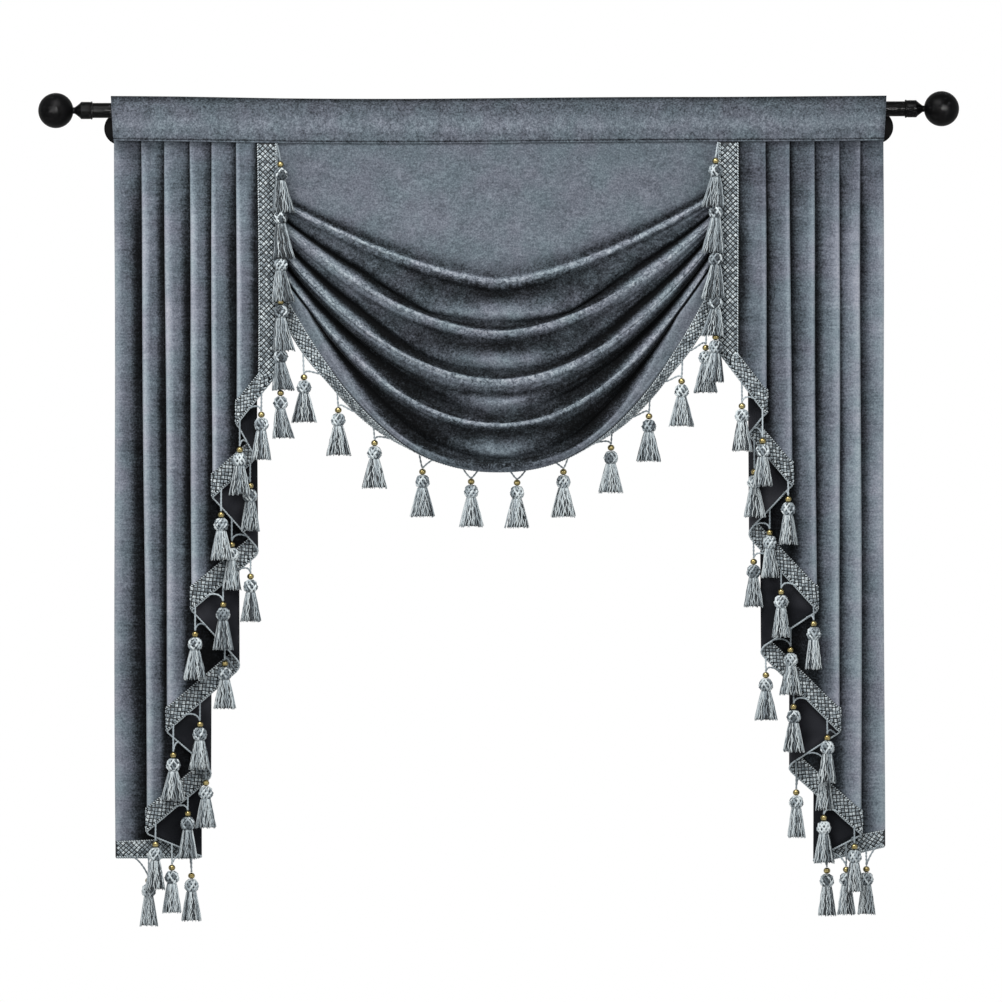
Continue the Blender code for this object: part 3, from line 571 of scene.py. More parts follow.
def strip_line(share):
    """The folded strip's middle line as (y, z), from the flap's lower edge round to the pocket seam."""
    top = HEADER_TOP - HEADING_SAG * share
    flap = -HEADING_DROP - HEADING_SAG * share
    reach = ROD_RADIUS + POCKET_EASE + HEADING_CLOTH / 2
    line = [(-ROD_FROM_WALL - reach, flap), (-ROD_FROM_WALL - reach, -POCKET_SEAM_DROP)]
    for degrees in (0, 15, 30, 45, 60, 75):
        angle = math.radians(degrees)
        line.append((-ROD_FROM_WALL - reach * math.cos(angle), reach * math.sin(angle)))
    line.append((-ROD_FROM_WALL - 0.0032, blend(reach, top, 0.45)))
    line += [(-ROD_FROM_WALL + depth, top - drop) for depth, drop in HEADER_FOLD]
    line.append((-ROD_FROM_WALL + 0.0020, blend(reach, top, 0.40)))
    for degrees in (72, 50, 25, 0, -25, -50, -75, -97):
        angle = math.radians(degrees)
        line.append((-ROD_FROM_WALL + reach * math.cos(angle), reach * math.sin(angle)))
    line.append((-ROD_FROM_WALL - 0.0085, -POCKET_SEAM_DROP + 0.0035))
    line.append((-ROD_FROM_WALL - reach + HEADING_CLOTH + 0.0004, -POCKET_SEAM_DROP - 0.0015))
    line.append((-ROD_FROM_WALL - reach + HEADING_CLOTH + 0.0004, -POCKET_SEAM_DROP - 0.0090))
    return line


def lengths_along(line):
    """The length along a line of points up to each of them."""
    return np.concatenate([[0.0], np.cumsum(np.linalg.norm(np.diff(line, axis=0), axis=1))])


def spaced(line, count):
    """Equally spaced points along a line of points."""
    line = np.array(line, dtype=float)
    along = lengths_along(line)
    wanted = np.linspace(0.0, along[-1], count)
    return np.stack([np.interp(wanted, along, line[:, i]) for i in range(line.shape[1])], axis=1)


heading_grid = np.zeros((HEADING_ROWS, HEADING_COLUMNS + 1, 3))
for column in range(HEADING_COLUMNS + 1):
    x = blend(-HEADING_HALF_WIDTH, HEADING_HALF_WIDTH, column / HEADING_COLUMNS)
    share = 1 - (x / HEADING_HALF_WIDTH) ** 2
    slant = HEADING_END_SLANT * (abs(x) / HEADING_HALF_WIDTH) ** 8
    for row, (y, z) in enumerate(spaced(strip_line(share), HEADING_ROWS)):
        # The pocket's back is cut a little shorter, clear of the brackets' arms.
        pocket = smooth((y + ROD_FROM_WALL - 0.001) / 0.006)
        narrow = blend(1.0, POCKET_HALF_WIDTH / HEADING_HALF_WIDTH, pocket)
        lump = noise.noise(Vector((x * 9.0, 3.0, z * 16.0))) * POCKET_LUMP
        flap = smooth((-POCKET_SEAM_DROP - z) / 0.02)
        pucker = POCKET_PUCKER * (1 - pocket) * abs(math.sin(x * 21.0)) * (1 - flap)
        heading_grid[row, column] = (
            x * narrow - math.copysign(slant * (HEADER_TOP - z), x),
            y + lump * (1 - flap) * (1 - pocket) - pucker,
            z + HEADER_WAVE * math.sin(x * 6.5) * (1 - pocket),
        )
# The heading is painted with shade over the rod and towards the header's fold, painted light on the flap's
# swell, and a line of painted shade just above the flap's lower edge, where a row of stitching dents it.
# Columns: length up the front from the flap's lower edge, painted shade there.
HEADING_SHADES = (
    (0.0000, 0.04), (0.0020, 0.00), (0.0040, 0.38), (0.0060, 0.04), (0.0180, 0.03), (0.0300, -0.05),
    (0.0420, -0.03), (0.0530, 0.03), (0.0620, 0.06), (0.0740, 0.12), (0.0860, 0.18), (0.0900, 0.30),
    (0.0960, 0.36),
)
up_front = np.cumsum(np.linalg.norm(np.diff(heading_grid, axis=0, prepend=heading_grid[:1]), axis=2), axis=0)
# The grid runs up the front, so it is turned round to keep the velvet's face outwards.
heading_grid = heading_grid[::-1]
heading_shade = np.interp(up_front, *np.array(HEADING_SHADES).T)[::-1]
heading_crush = np.full_like(heading_shade, HEADING_CRUSH)
heading_velvet = velvet("heading_velvet", (1.0, 1.0, 0.7), 0.46, "fold_shade", "crushed")
heading = cloth_sheet(
    "heading_strip", heading_grid, HEADING_CLOTH, [heading_velvet, cloth_back], "slate_band",
    fold_shade=heading_shade, crushed=heading_crush,
)
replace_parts(heading, "heading")

# ---- swag --------------------------------------------------------------------------------
# The swag is one panel of crushed velvet.  Its two sides are gathered up behind the tails, so it
# falls in five deep folds with soft creases between them, and its hem curls under at the middle.
CLOTH = 0.0014
PANEL_TOP = -0.048
BRAID_WIDTH = 0.038
SWAG_HALF_WIDTH = 0.4525
SWAG_SIDE_TUCK = 0.0032
SWAG_TUCK_START = 0.385
SWAG_TUCK_RUN = 0.030
SWAG_COLUMNS = 156
SWAG_STEPS = 6
CREST_DEEPENS = 1.4
# Painted shade of the crease above the first fold and of the dark line where the cloth tucks in above a
# crest, each at the middle and at the sides, and the painted light on a crest.
CREASE_SHADE = (0.12, 0.34)
TUCK_SHADE = (0.30, -0.02)
CREST_LIGHT = 0.20
# Painted shade of the hem's edge above the braid and of the fold under it, each at the middle and at the
# sides.
HEM_EDGE_SHADE = (0.24, -0.10)
HEM_FOLD_SHADE = (0.12, -0.05)
# Painted shade of the flat cloth above the first fold, and how crushed it is there and at the hem.
UPPER_SHADES = (0.0, 0.0, -0.02, -0.02)
UPPER_CRUSH = (0.0, 0.0, 0.0, 0.0, 0.3)
HEM_CRUSH = (0.7, 0.5, 0.2, 0.0)
# How far above a crest the cloth tucks in, and how deep, each at the middle and at the sides.
TUCK_ABOVE_CREST = (0.0042, 0.0105)
TUCK_DEPTH = (0.0050, 0.0070)
CLOTH_GAP = 0.0003
# Panels hang behind the heading's front layer: depths are counted from here, towards the wall.
FRONT_PLANE = -(ROD_FROM_WALL + ROD_RADIUS + POCKET_EASE) + CLOTH_GAP + CLOTH / 2
# The folds fan out below the heading: height, and share of the full opening reached there.
FAN_LEVELS = ((PANEL_TOP, 0.0), (-0.07, 0.0), (-0.13, 0.34), (-0.23, 0.74), (-0.37, 1.0))

# One row for each main fold of the swag, from the top down.  Columns:
#   middle, left, right   drop of the crest below the rod's axis at the middle and at either side
#   bend                  how sharply the curve climbs to the sides
#   depth, side_depth     crest's depth at the middle and at the sides
SWAG_FOLDS = (
    # middle, left, right, bend,  depth,  side_depth
    (0.331, 0.160, 0.145, 1.50, -0.012, 0.011),
    (0.430, 0.192, 0.178, 1.78, -0.024, 0.012),
    (0.523, 0.228, 0.203, 1.96, -0.034, 0.013),
    (0.608, 0.260, 0.226, 2.02, -0.042, 0.014),
    (0.686, 0.200, 0.131, 2.50, -0.046, 0.013),
)
# One row for the cloth between two main folds.  Columns, as shares of the way to the next crest:
#   dip      a shallow trough
#   rise     the small crest below it, at each of STAGES
#   trough   the deep trough, at each of STAGES
#   fade     how deep the small crest sinks at the sides, in metres
STAGES = (0.0, 0.30, 0.60)
SWAG_TROUGHS = (
    # dip, rise,                trough,             fade
    (0.28, (0.60, 0.79, 0.52), (0.82, 0.90, 0.69), 0.010),
    (0.30, (0.61, 0.74, 0.45), (0.83, 0.86, 0.64), 0.012),
    (0.34, (0.53, 0.50, 0.40), (0.78, 0.70, 0.56), 0.015),
    (0.25, (0.67, 0.54, 0.34), (0.84, 0.76, 0.46), 0.015),
)
# The painted shade of the same cloth, each at the middle and at the sides: the slope below the crest, the
# dip, the small crest and the trough.  lit_to is the share of the half width where the small crest goes dark
# under its painted shade.
SWAG_SHADES = (
    # slope,       dip,          small crest,   trough,       lit_to
    ((0.28, 0.08), (0.38, 0.11), (-0.10, 0.20), (0.26, 0.54), 0.46),
    ((0.16, -0.06), (0.38, 0.08), (-0.10, 0.24), (0.26, 0.64), 0.36),
    ((0.04, 0.02), (0.24, 0.36), (-0.10, 0.44), (0.24, 0.60), 0.32),
    ((0.20, -0.04), (0.34, 0.34), (-0.04, 0.50), (0.24, 0.60), 0.34),
)
# How crushed the pile is, in the same order, after the crest itself and before the tuck above the next.
SWAG_CRUSH = (1.0, 0.45, 0.15, 0.35, 0.10, 0.5)
DIP_DEPTH = 0.007
TROUGH_DEPTH = 0.009
SIDE_TROUGH_DEPTH = 0.019
CREASE_RISE = 0.0090
CREASE_DEPTH = (0.003, 0.010)
UPPER_BULGES = ((0.45, 0.004), (0.85, 0.005))
# The folds are pressed flatter where they are gathered behind the tails.
PRESSED_FROM = 0.82
PRESSED_DEPTH = 0.40
FOLD_SPACE = 0.016
# Drop of the braid's upper edge below the rod's axis: middle, left, right, and how sharply it climbs.
HEM_LINE = (0.699, 0.277, 0.249, 2.26)
HEM_TURN = 0.62
HEM_BACK = (0.010, 0.003)
HEM_RISE_AT_MIDDLE = 0.028
HEM_FALL_AT_SIDE = 0.036
HEM_WIDENS = 0.018
HEM_WIDENS_FROM = 0.70
# How far a long crease moves the cloth forwards and upwards, how high a crushed lump is, and how much painted
# shade darkens it.
LONG_CREASE = (0.0032, 0.0012)
CRUSH_LUMP = 0.0011
CRUSH_LUMP_SHADE = 0.10


def swag_line(x):
    """The swag's middle line from top to hem at one distance from the part's middle, as (depth, z), with the
    painted shade and the crush at each of its points.
    """
    share = min(abs(x) / SWAG_HALF_WIDTH, 1.0)
    belly = (1 - share * share) ** CREST_DEEPENS
    tuck = SWAG_SIDE_TUCK * smooth((abs(x) - SWAG_TUCK_START) / SWAG_TUCK_RUN)
    pressed = blend(1.0, PRESSED_DEPTH, smooth((share - PRESSED_FROM) / (1 - PRESSED_FROM)))
    crests = []
    for fold in SWAG_FOLDS:
        side_drop = fold[1] if x < 0 else fold[2]
        drop = blend(fold[0], side_drop, share ** fold[3])
        if crests:
            drop = max(drop, FOLD_SPACE - crests[-1][1])
        crests.append((blend(fold[5], fold[4], belly), -drop))
    first = crests[0]
    crease = (first[0] + blend(*CREASE_DEPTH, share), first[1] + CREASE_RISE)
    line = [(tuck, PANEL_TOP), (tuck + 0.0002, FAN_LEVELS[1][0])]
    for part, forward in UPPER_BULGES:
        bulge = forward * (1 - share)
        line.append((
            blend(tuck, crease[0], part ** 1.5) - bulge,
            blend(FAN_LEVELS[1][0], crease[1], part),
        ))
    line.append(crease)
    shades = [*UPPER_SHADES, blend(*CREASE_SHADE, smooth(share * 1.3))]
    crush = [*UPPER_CRUSH]
    gaps = zip(SWAG_TROUGHS, SWAG_SHADES, crests, crests[1:])
    for (dip, rise, trough, fade), (slope, hollow, small, deep, lit_to), upper, lower in gaps:
        line.append(upper)
        side = smooth(share * 1.5)
        gathered = smooth((share - 0.40) / 0.25)
        tuck_part = min(blend(*TUCK_ABOVE_CREST, gathered) / (upper[1] - lower[1]), 0.25)
        steps = (
            (dip * 0.45, DIP_DEPTH * 0.25),
            (dip, DIP_DEPTH),
            (np.interp(share, STAGES, rise), blend(0.001, fade, side)),
            (np.interp(share, STAGES, trough), blend(TROUGH_DEPTH, SIDE_TROUGH_DEPTH, side)),
            (1 - tuck_part, blend(*TUCK_DEPTH, side)),
        )
        for part, back in steps:
            line.append((blend(upper[0], lower[0], part) + back * pressed, blend(upper[1], lower[1], part)))
        reached = smooth(share * 1.2)
        shades += [-CREST_LIGHT, blend(*slope, reached), blend(*hollow, reached)]
        shades += [blend(*small, smooth(share / lit_to)), blend(*deep, side), blend(*TUCK_SHADE, gathered)]
        crush += SWAG_CRUSH
    hem = crests[-1]
    line.append(hem)
    cut = -blend(HEM_LINE[0], HEM_LINE[1] if x < 0 else HEM_LINE[2], share ** HEM_LINE[3])
    cut = min(cut, hem[1] - 0.010)
    line.append((hem[0] + 0.001, blend(hem[1], cut, HEM_TURN)))
    line.append((hem[0] + blend(*HEM_BACK, smooth(share / 0.7)), cut))
    fall = blend(-HEM_RISE_AT_MIDDLE, HEM_FALL_AT_SIDE, smooth(share / 0.85))
    fall += HEM_WIDENS * smooth((share - HEM_WIDENS_FROM) / 0.18)
    back = math.sqrt(max(BRAID_WIDTH ** 2 - fall ** 2, 0.004 ** 2))
    line.append((line[-1][0] + back, line[-1][1] - fall))
    shades.append(blend(*HEM_EDGE_SHADE, smooth(share * 2.2)))
    shades += [blend(*HEM_FOLD_SHADE, smooth(share * 2)), -0.06, 0.10]
    crush += [amount * (1 - share) for amount in HEM_CRUSH]
    return line, shades, crush


def flowing(rows, steps):
    """Rows joined by smooth curves through every row, with the given steps from row to row."""
    rows = np.array(rows, dtype=float)
    padded = np.concatenate([rows[:1] * 2 - rows[1:2], rows, rows[-1:] * 2 - rows[-2:-1]])
    out = []
    for i in range(len(rows) - 1):
        p0, p1, p2, p3 = padded[i:i + 4]
        for j in range(steps):
            t = j / steps
            out.append(0.5 * (
                2 * p1 + (p2 - p0) * t + (2 * p0 - 5 * p1 + 4 * p2 - p3) * t * t
                + (3 * p1 - p0 - 3 * p2 + p3) * t ** 3
            ))
    out.append(rows[-1])
    return np.array(out)


swag_rows = []
for column in range(SWAG_COLUMNS + 1):
    # The columns lie closer together at the gathered sides.
    x = SWAG_HALF_WIDTH * math.sin(math.pi / 2 * (2 * column / SWAG_COLUMNS - 1))
    traits = zip(*swag_line(x))
    swag_rows.append([(x, FRONT_PLANE + depth, z, shade, crush) for (depth, z), shade, crush in traits])
swag_fine = flowing(np.array(swag_rows).transpose(1, 0, 2), SWAG_STEPS)
swag_grid = swag_fine[:, :, :3].copy()
swag_shade = swag_fine[:, :, 3].copy()
swag_crush = np.clip(swag_fine[:, :, 4], 0.0, 1.0)
first_fold = 4 * SWAG_STEPS
last_fold = len(swag_grid) - 3 * SWAG_STEPS
for row in range(first_fold, last_fold):
    for column in range(SWAG_COLUMNS + 1):
        x = swag_grid[row, column, 0]
        share = abs(x) / SWAG_HALF_WIDTH
        inner = smooth(min((row - first_fold) / 8, (last_fold - row) / 8)) * smooth((1 - share) / 0.12)
        # Long creases run with the folds, and the crushed pile between them is lumpy; lumps that lie further
        # back are painted darker as shade.
        along_fold = row * 0.33 + 0.4 * x
        crease = noise.noise(Vector((x * 5.0, along_fold, 1.7)))
        lump = noise.noise(Vector((x * 26.0, row * 0.30, 8.1)))
        swag_grid[row, column, 1] += inner * (LONG_CREASE[0] * crease + CRUSH_LUMP * lump)
        swag_grid[row, column, 2] += inner * LONG_CREASE[1] * crease
        swag_shade[row, column] += inner * CRUSH_LUMP_SHADE * lump
swag_velvet = velvet("swag_velvet", (0.45, 1.0, 1.0), 0.42, "fold_shade", "crushed")
swag = cloth_sheet(
    "swag_cloth", swag_grid, CLOTH, [swag_velvet, cloth_back], "slate_velvet",
    fold_shade=swag_shade, crushed=swag_crush,
)
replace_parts(swag, "swag")

# ---- tails -------------------------------------------------------------------------------
# Each tail is one panel of velvet with a slanted hem, pleated back and forth into six flutes that
# open out below the heading, so the hem steps down in zigzags towards the outer edge.
TAIL_ROWS = 100
ROUND_STEPS = 6
RUN_STEPS = 11
TAIL_BRAID_HEIGHT = 0.046
OUTER_BRAID_HEIGHT = 0.032
FACE_SWELL = 0.0045
RETURN_SWELL = 0.001
SWAY = 0.0022
# Drop over which a fold moves from its place at the top to its place at the hem.
TAIL_SPREAD_DROP = 1.3
RIPPLE = 0.0012
BRUSHED_SHADE = 0.10
CREASED_SHADE = 0.05
# Painted shade of a flute's face (painted light where it is below zero), below the heading and further down.
# The left tail's faces turn away from the light, the right tail's towards it.  Columns: share of the way from
# the next flute in front of it, or from the braid, to its own front fold; painted shade below the heading;
# painted shade further down.
FLUTE_SHADES_LEFT = (
    (-0.40, 0.40, 0.46), (0.00, 0.38, 0.44), (0.09, 0.24, 0.43), (0.20, 0.09, 0.41), (0.33, 0.05, 0.20),
    (0.46, 0.04, 0.06), (0.62, 0.03, 0.01), (0.82, 0.00, -0.04), (0.94, -0.03, -0.08), (0.98, -0.08, -0.16),
    (1.00, -0.16, -0.34),
)
FLUTE_SHADES_RIGHT = (
    (-0.40, 0.40, 0.42), (0.00, 0.38, 0.41), (0.08, 0.22, 0.37), (0.20, 0.08, 0.26), (0.36, 0.06, 0.13),
    (0.52, 0.03, 0.05), (0.68, 0.01, 0.00), (0.84, -0.01, -0.06), (0.95, -0.03, -0.09), (0.98, -0.06, -0.14),
    (1.00, -0.10, -0.22),
)
# How far down the painted shade takes to change, the painted light on the right tail's outer flutes, and the
# painted shade on a return.
FLUTE_SHADES_FALL = 0.25
OUTER_FLUTE_LIGHT = 0.05
RETURN_SHADE = 0.30

# One row for each fold of a tail, from the inner edge outwards.  Columns:
#   top, low    distance from the part's middle at the top and at the hem
#   near, far   depth where the cloth arrives at the fold and where it leaves it, at the top
#   low_near, low_far   the same two depths once the folds have fanned out
#   hem_in, hem_out     drop of the hem below the rod's axis on either side of the fold
TAIL_FOLDS_LEFT = (
    # top,   low,    near,   far,    low_near, low_far, hem_in, hem_out
    (0.4294, 0.4294, 0.0000, 0.0000, -0.004, -0.004, 0.511, 0.511),
    (0.5066, 0.5066, 0.0000, 0.0024, -0.007, 0.001, 0.600, 0.612),
    (0.4750, 0.4738, 0.0032, 0.0056, 0.010, 0.022, 0.655, 0.680),
    (0.5539, 0.5539, 0.0032, 0.0056, -0.001, 0.007, 0.742, 0.752),
    (0.4680, 0.4671, 0.0086, 0.0110, 0.030, 0.042, 0.838, 0.862),
    (0.5964, 0.5925, 0.0068, 0.0092, 0.006, 0.014, 0.960, 0.970),
    (0.5028, 0.5028, 0.0124, 0.0148, 0.037, 0.049, 1.058, 1.084),
    (0.6456, 0.6408, 0.0102, 0.0126, 0.012, 0.020, 1.194, 1.204),
    (0.5587, 0.5587, 0.0154, 0.0178, 0.039, 0.051, 1.268, 1.294),
    (0.6900, 0.6823, 0.0136, 0.0160, 0.016, 0.024, 1.388, 1.398),
    (0.5790, 0.5790, 0.0196, 0.0220, 0.049, 0.061, 1.438, 1.444),
    (0.7432, 0.7440, 0.0165, 0.0165, 0.030, 0.030, 1.443, 1.443),
)
TAIL_FOLDS_RIGHT = (
    # top,   low,    near,   far,    low_near, low_far, hem_in, hem_out
    (0.4256, 0.4270, 0.0000, 0.0000, -0.004, -0.004, 0.470, 0.470),
    (0.5143, 0.5182, 0.0000, 0.0024, -0.007, 0.001, 0.584, 0.590),
    (0.4825, 0.4825, 0.0034, 0.0058, 0.010, 0.022, 0.618, 0.636),
    (0.5607, 0.5665, 0.0034, 0.0058, -0.001, 0.007, 0.722, 0.730),
    (0.4815, 0.4815, 0.0088, 0.0112, 0.030, 0.042, 0.806, 0.832),
    (0.6089, 0.6128, 0.0070, 0.0094, 0.006, 0.014, 0.962, 0.972),
    (0.5057, 0.5057, 0.0128, 0.0152, 0.039, 0.051, 1.036, 1.058),
    (0.6572, 0.6562, 0.0104, 0.0128, 0.012, 0.020, 1.198, 1.206),
    (0.5607, 0.5607, 0.0158, 0.0182, 0.041, 0.053, 1.262, 1.282),
    (0.6977, 0.6977, 0.0138, 0.0162, 0.016, 0.024, 1.396, 1.404),
    (0.6058, 0.6058, 0.0196, 0.0220, 0.048, 0.060, 1.446, 1.456),
    (0.7430, 0.7430, 0.0165, 0.0165, 0.030, 0.030, 1.424, 1.424),
)


def fan_opening(z):
    for (upper, share), (lower, next_share) in zip(FAN_LEVELS, FAN_LEVELS[1:]):
        if z > lower:
            return blend(share, next_share, (upper - z) / (upper - lower))
    return 1.0


def spread_way(z):
    return min(max((PANEL_TOP - z) / TAIL_SPREAD_DROP, 0.0), 1.0)


def tail_plan(folds, side, place, z):
    """A point of a tail's middle sheet at a height z; place is (fold, "round" or "run", amount)."""
    fan = fan_opening(z)
    way = spread_way(z)

    def on_round(index, degrees):
        top, low, near, far, low_near, low_far = folds[index][:6]
        across = blend(top, low, way)
        near = blend(near, low_near, fan)
        far = blend(far, low_far, fan)
        radius = (far - near) / 2
        bulge = radius if index % 2 else -radius
        angle = math.radians(degrees)
        return across - bulge + bulge * math.cos(angle), (near + far) / 2 + radius * math.sin(angle)

    index, kind, amount = place
    if kind == "round":
        across, depth = on_round(index, amount)
    else:
        start = on_round(index, 90)
        end = on_round(index + 1, -90)
        across = blend(start[0], end[0], amount)
        depth = blend(start[1], end[1], amount)
        # A face swells towards the room between its folds; a return hangs straighter.
        swell = FACE_SWELL if index % 2 == 0 else RETURN_SWELL
        depth -= swell * fan * math.sin(math.pi * amount) ** 2
    # The whole fold sways a little on its way down, and each fold sways its own way.
    number = index + (amount if kind == "run" else 0)
    sway = SWAY * fan * math.sin(5.2 * z + 1.3 * number + side)
    curl = SWAY * fan * math.sin(8.1 * z + 2.1 * number + 2 * side)
    return side * (across + 0.5 * sway), FRONT_PLANE + depth + 0.6 * curl, z


def tail_places():
    """Places along a tail's path: close together round the folds and evenly along the runs."""
    places = [(0, "run", i / 12) for i in range(12)]
    for index in range(1, 11):
        places += [(index, "round", -90 + 180 * i / ROUND_STEPS) for i in range(ROUND_STEPS)]
        places += [(index, "run", i / RUN_STEPS) for i in range(RUN_STEPS)]
    places.append((10, "run", 1.0))
    return places


def tail_hem(folds, place):
    """Drop of the hem and the braid's height at a place of the path."""
    index, kind, amount = place
    if kind == "round":
        drop = blend(folds[index][6], folds[index][7], (amount + 90) / 180)
    else:
        drop = blend(folds[index][7], folds[index + 1][6], amount)
    number = index + (amount if kind == "run" else 0)
    return drop, blend(TAIL_BRAID_HEIGHT, OUTER_BRAID_HEIGHT, smooth((number - 9.5) / 1.5))


def fold_shade(folds, side, place, z):
    """The painted shade at a place: painted light on its front fold, and painted shade down to black where
    the next flute hangs over it.
    """
    index, kind, amount = place
    shares, upper, lower = np.array(FLUTE_SHADES_LEFT if side < 0 else FLUTE_SHADES_RIGHT).T
    shades = blend(upper, lower, smooth((PANEL_TOP - z) / FLUTE_SHADES_FALL))
    if kind == "round" and index % 2:
        return shades[-1]
    if kind == "run" and index % 2:
        return blend(shades[-1], RETURN_SHADE, smooth(amount * 4))
    way = spread_way(z)
    here = blend(folds[index][0], folds[index][1], way)
    if kind == "run":
        here = blend(here, blend(folds[index + 1][0], folds[index + 1][1], way), amount)
    own = blend(folds[index + 1][0], folds[index + 1][1], way)
    over = folds[0][1] + BRAID_WIDTH if index == 0 else blend(folds[index - 1][0], folds[index - 1][1], way)
    lit = OUTER_FLUTE_LIGHT if side > 0 and index >= 8 else 0.0
    return float(np.interp((here - over) / (own - over), shares, shades)) - lit


# Painted shade below the heading, and painted light on the right tail's outer flutes.
# One value each for the left and the right tail.
HEAD_SHADE = {-1: 0.01, 1: 0.07}
OUTER_LIGHT = {-1: 0.0, 1: 0.08}


def region_painted_shade(side, x, z):
    """How much painted shade darkens a whole region below the heading, less the painted light on the right
    tail's outer flutes.
    """
    head = smooth((z + 0.25) / 0.12)
    outer = smooth((abs(x) - 0.60) / 0.08) * smooth((-z - 0.15) / 0.15)
    return HEAD_SHADE[side] * head - OUTER_LIGHT[side] * outer


def tail_cloth(name, folds, side, materials):
    places = tail_places()
    grid = np.zeros((TAIL_ROWS + 1, len(places), 3))
    shade = np.zeros((TAIL_ROWS + 1, len(places)))
    for column, place in enumerate(places):
        drop = tail_hem(folds, place)[0]
        for row in range(TAIL_ROWS + 1):
            z = blend(PANEL_TOP, -drop, row / TAIL_ROWS)
            point = tail_plan(folds, side, place, z)
            ripple = noise.noise(Vector((point[0] * 14.0, column * 0.05, z * 3.5)))
            grid[row, column] = (point[0], point[1] + RIPPLE * ripple * fan_opening(z), z)
            # Random brushed and creased tone, on top of the painted shade and painted light of the flutes and
            # of whole regions.
            brushed = noise.noise(Vector((point[0] * 50.0, 4.0, z * 6.0)))
            creased = noise.noise(Vector((point[0] * 9.0, 9.0, z * 70.0)))
            shade[row, column] = fold_shade(folds, side, place, z) + region_painted_shade(side, point[0], z)
            shade[row, column] += BRUSHED_SHADE * brushed + CREASED_SHADE * creased
    # Down x across must look at the room on both tails, so the left tail's path is counted back.
    order = -1 if side < 0 else 1
    shade = shade[:, ::order]
    return cloth_sheet(name, grid[:, ::order], CLOTH, materials, "slate_velvet", fold_shade=shade), grid


# The tails were brushed downwards.
TAIL_TINTS = ((0.35, (1.02, 0.985, 1.04)), (0.65, (0.93, 1.02, 1.03)))
tail_velvet = velvet("tail_velvet", (0.22, 0.22, 1.4), 0.44, "fold_shade", tints=TAIL_TINTS)
tail_left, left_grid = tail_cloth("tail_left_cloth", TAIL_FOLDS_LEFT, -1, [tail_velvet, cloth_back])
tail_right, right_grid = tail_cloth("tail_right_cloth", TAIL_FOLDS_RIGHT, 1, [tail_velvet, cloth_back])
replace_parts(tail_left, "tail_left")
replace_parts(tail_right, "tail_right")

# ---- braid -------------------------------------------------------------------------------
# The gimp braid is a flat band plaited of pale silky yarn over a dark core: six columns of lozenges
# of two yarns each, that lean by turns, between two twisted edges.  It is sewn flat on the face of
# each cloth, down the tails' inner edges, along their stepped hems and along the swag's hem, where a
# fine cord closes the edge.
BRAID_CORE = 0.0012
BRAID_TOP = -0.0645
LOZENGE_PITCH = 0.0103
LOZENGE_COLUMNS = 6
LOZENGE_RINGS = 4
# One row for each of the two yarns of a lozenge.  Columns: place beside its middle, length.
LOZENGE_YARNS = ((-0.00138, 0.0060), (0.00138, 0.0060))
LOZENGE_YARN = 0.00150
LOZENGE_LIFT = 0.0011
EDGE_STITCH_PITCH = 0.0048
EDGE_STITCH_WIDTH = 0.0034
EDGE_STITCH_YARN = 0.00125
EDGE_STITCH_LIFT = 0.0009
# Tones, from the darkest to the palest: a lozenge, each of its yarns beside that, and an edge stitch.
LOZENGE_TONES = (0.58, 1.0)
PLY_TONES = (-0.22, 0.10)
EDGE_TONES = (0.70, 1.0)
LEAN_AVERAGE = 25
HEM_CORD = 0.0018
HEM_CORD_STEP = 0.0016
HEM_CORD_TONES = (0.74, 0.80)
BRAID_OVER_CLOTH = CLOTH / 2 + BRAID_CORE / 2 + CLOTH_GAP
YARN_TONES = (
    (0.00, (0.004, 0.005, 0.006)),
    (0.35, (0.060, 0.078, 0.092)),
    (0.70, (0.350, 0.410, 0.445)),
    (1.00, (0.740, 0.810, 0.830)),
)
YARN_VALUES = {"Specular IOR Level": 0.5, "Sheen Weight": 0.25, "Sheen Roughness": 0.3}


def yarn_fibres_group():
    """The fine fibres of a yarn, which are paler and darker, and more and less glossy, by turns."""
    group, given = new_group("yarn_fibres", (), ("Tone", "Roughness"), ("Tone", "Roughness", "Height"))
    fibre = add_noise(group, object_place(group), 700.0)
    add_node(group, "NodeGroupOutput", [
        ("Tone", add_maths(group, "ADD", given["Tone"], add_range(group, fibre, -0.14, 0.14), clamp=True)),
        ("Roughness", add_maths(group, "ADD", given["Roughness"], add_range(group, fibre, -0.08, 0.12))),
        ("Height", fibre),
    ])
    return group


yarn_fibres = yarn_fibres_group()


def yarn_material(name, roughness):
    """Silky rayon yarn; the attribute yarn_tone runs from its darkest to its palest ply."""
    material, tree, shader = new_material(name, YARN_VALUES)
    tone = add_node(tree, "ShaderNodeAttribute", attribute_name="yarn_tone").outputs["Fac"]
    values = [("Tone", tone), ("Roughness", roughness)]
    yarn = add_node(tree, "ShaderNodeGroup", values, node_tree=yarn_fibres).outputs
    dress(
        tree, shader, colour_steps(tree, yarn["Tone"], YARN_TONES), yarn["Roughness"], yarn["Height"],
        0.3, 0.0003,
    )
    return material


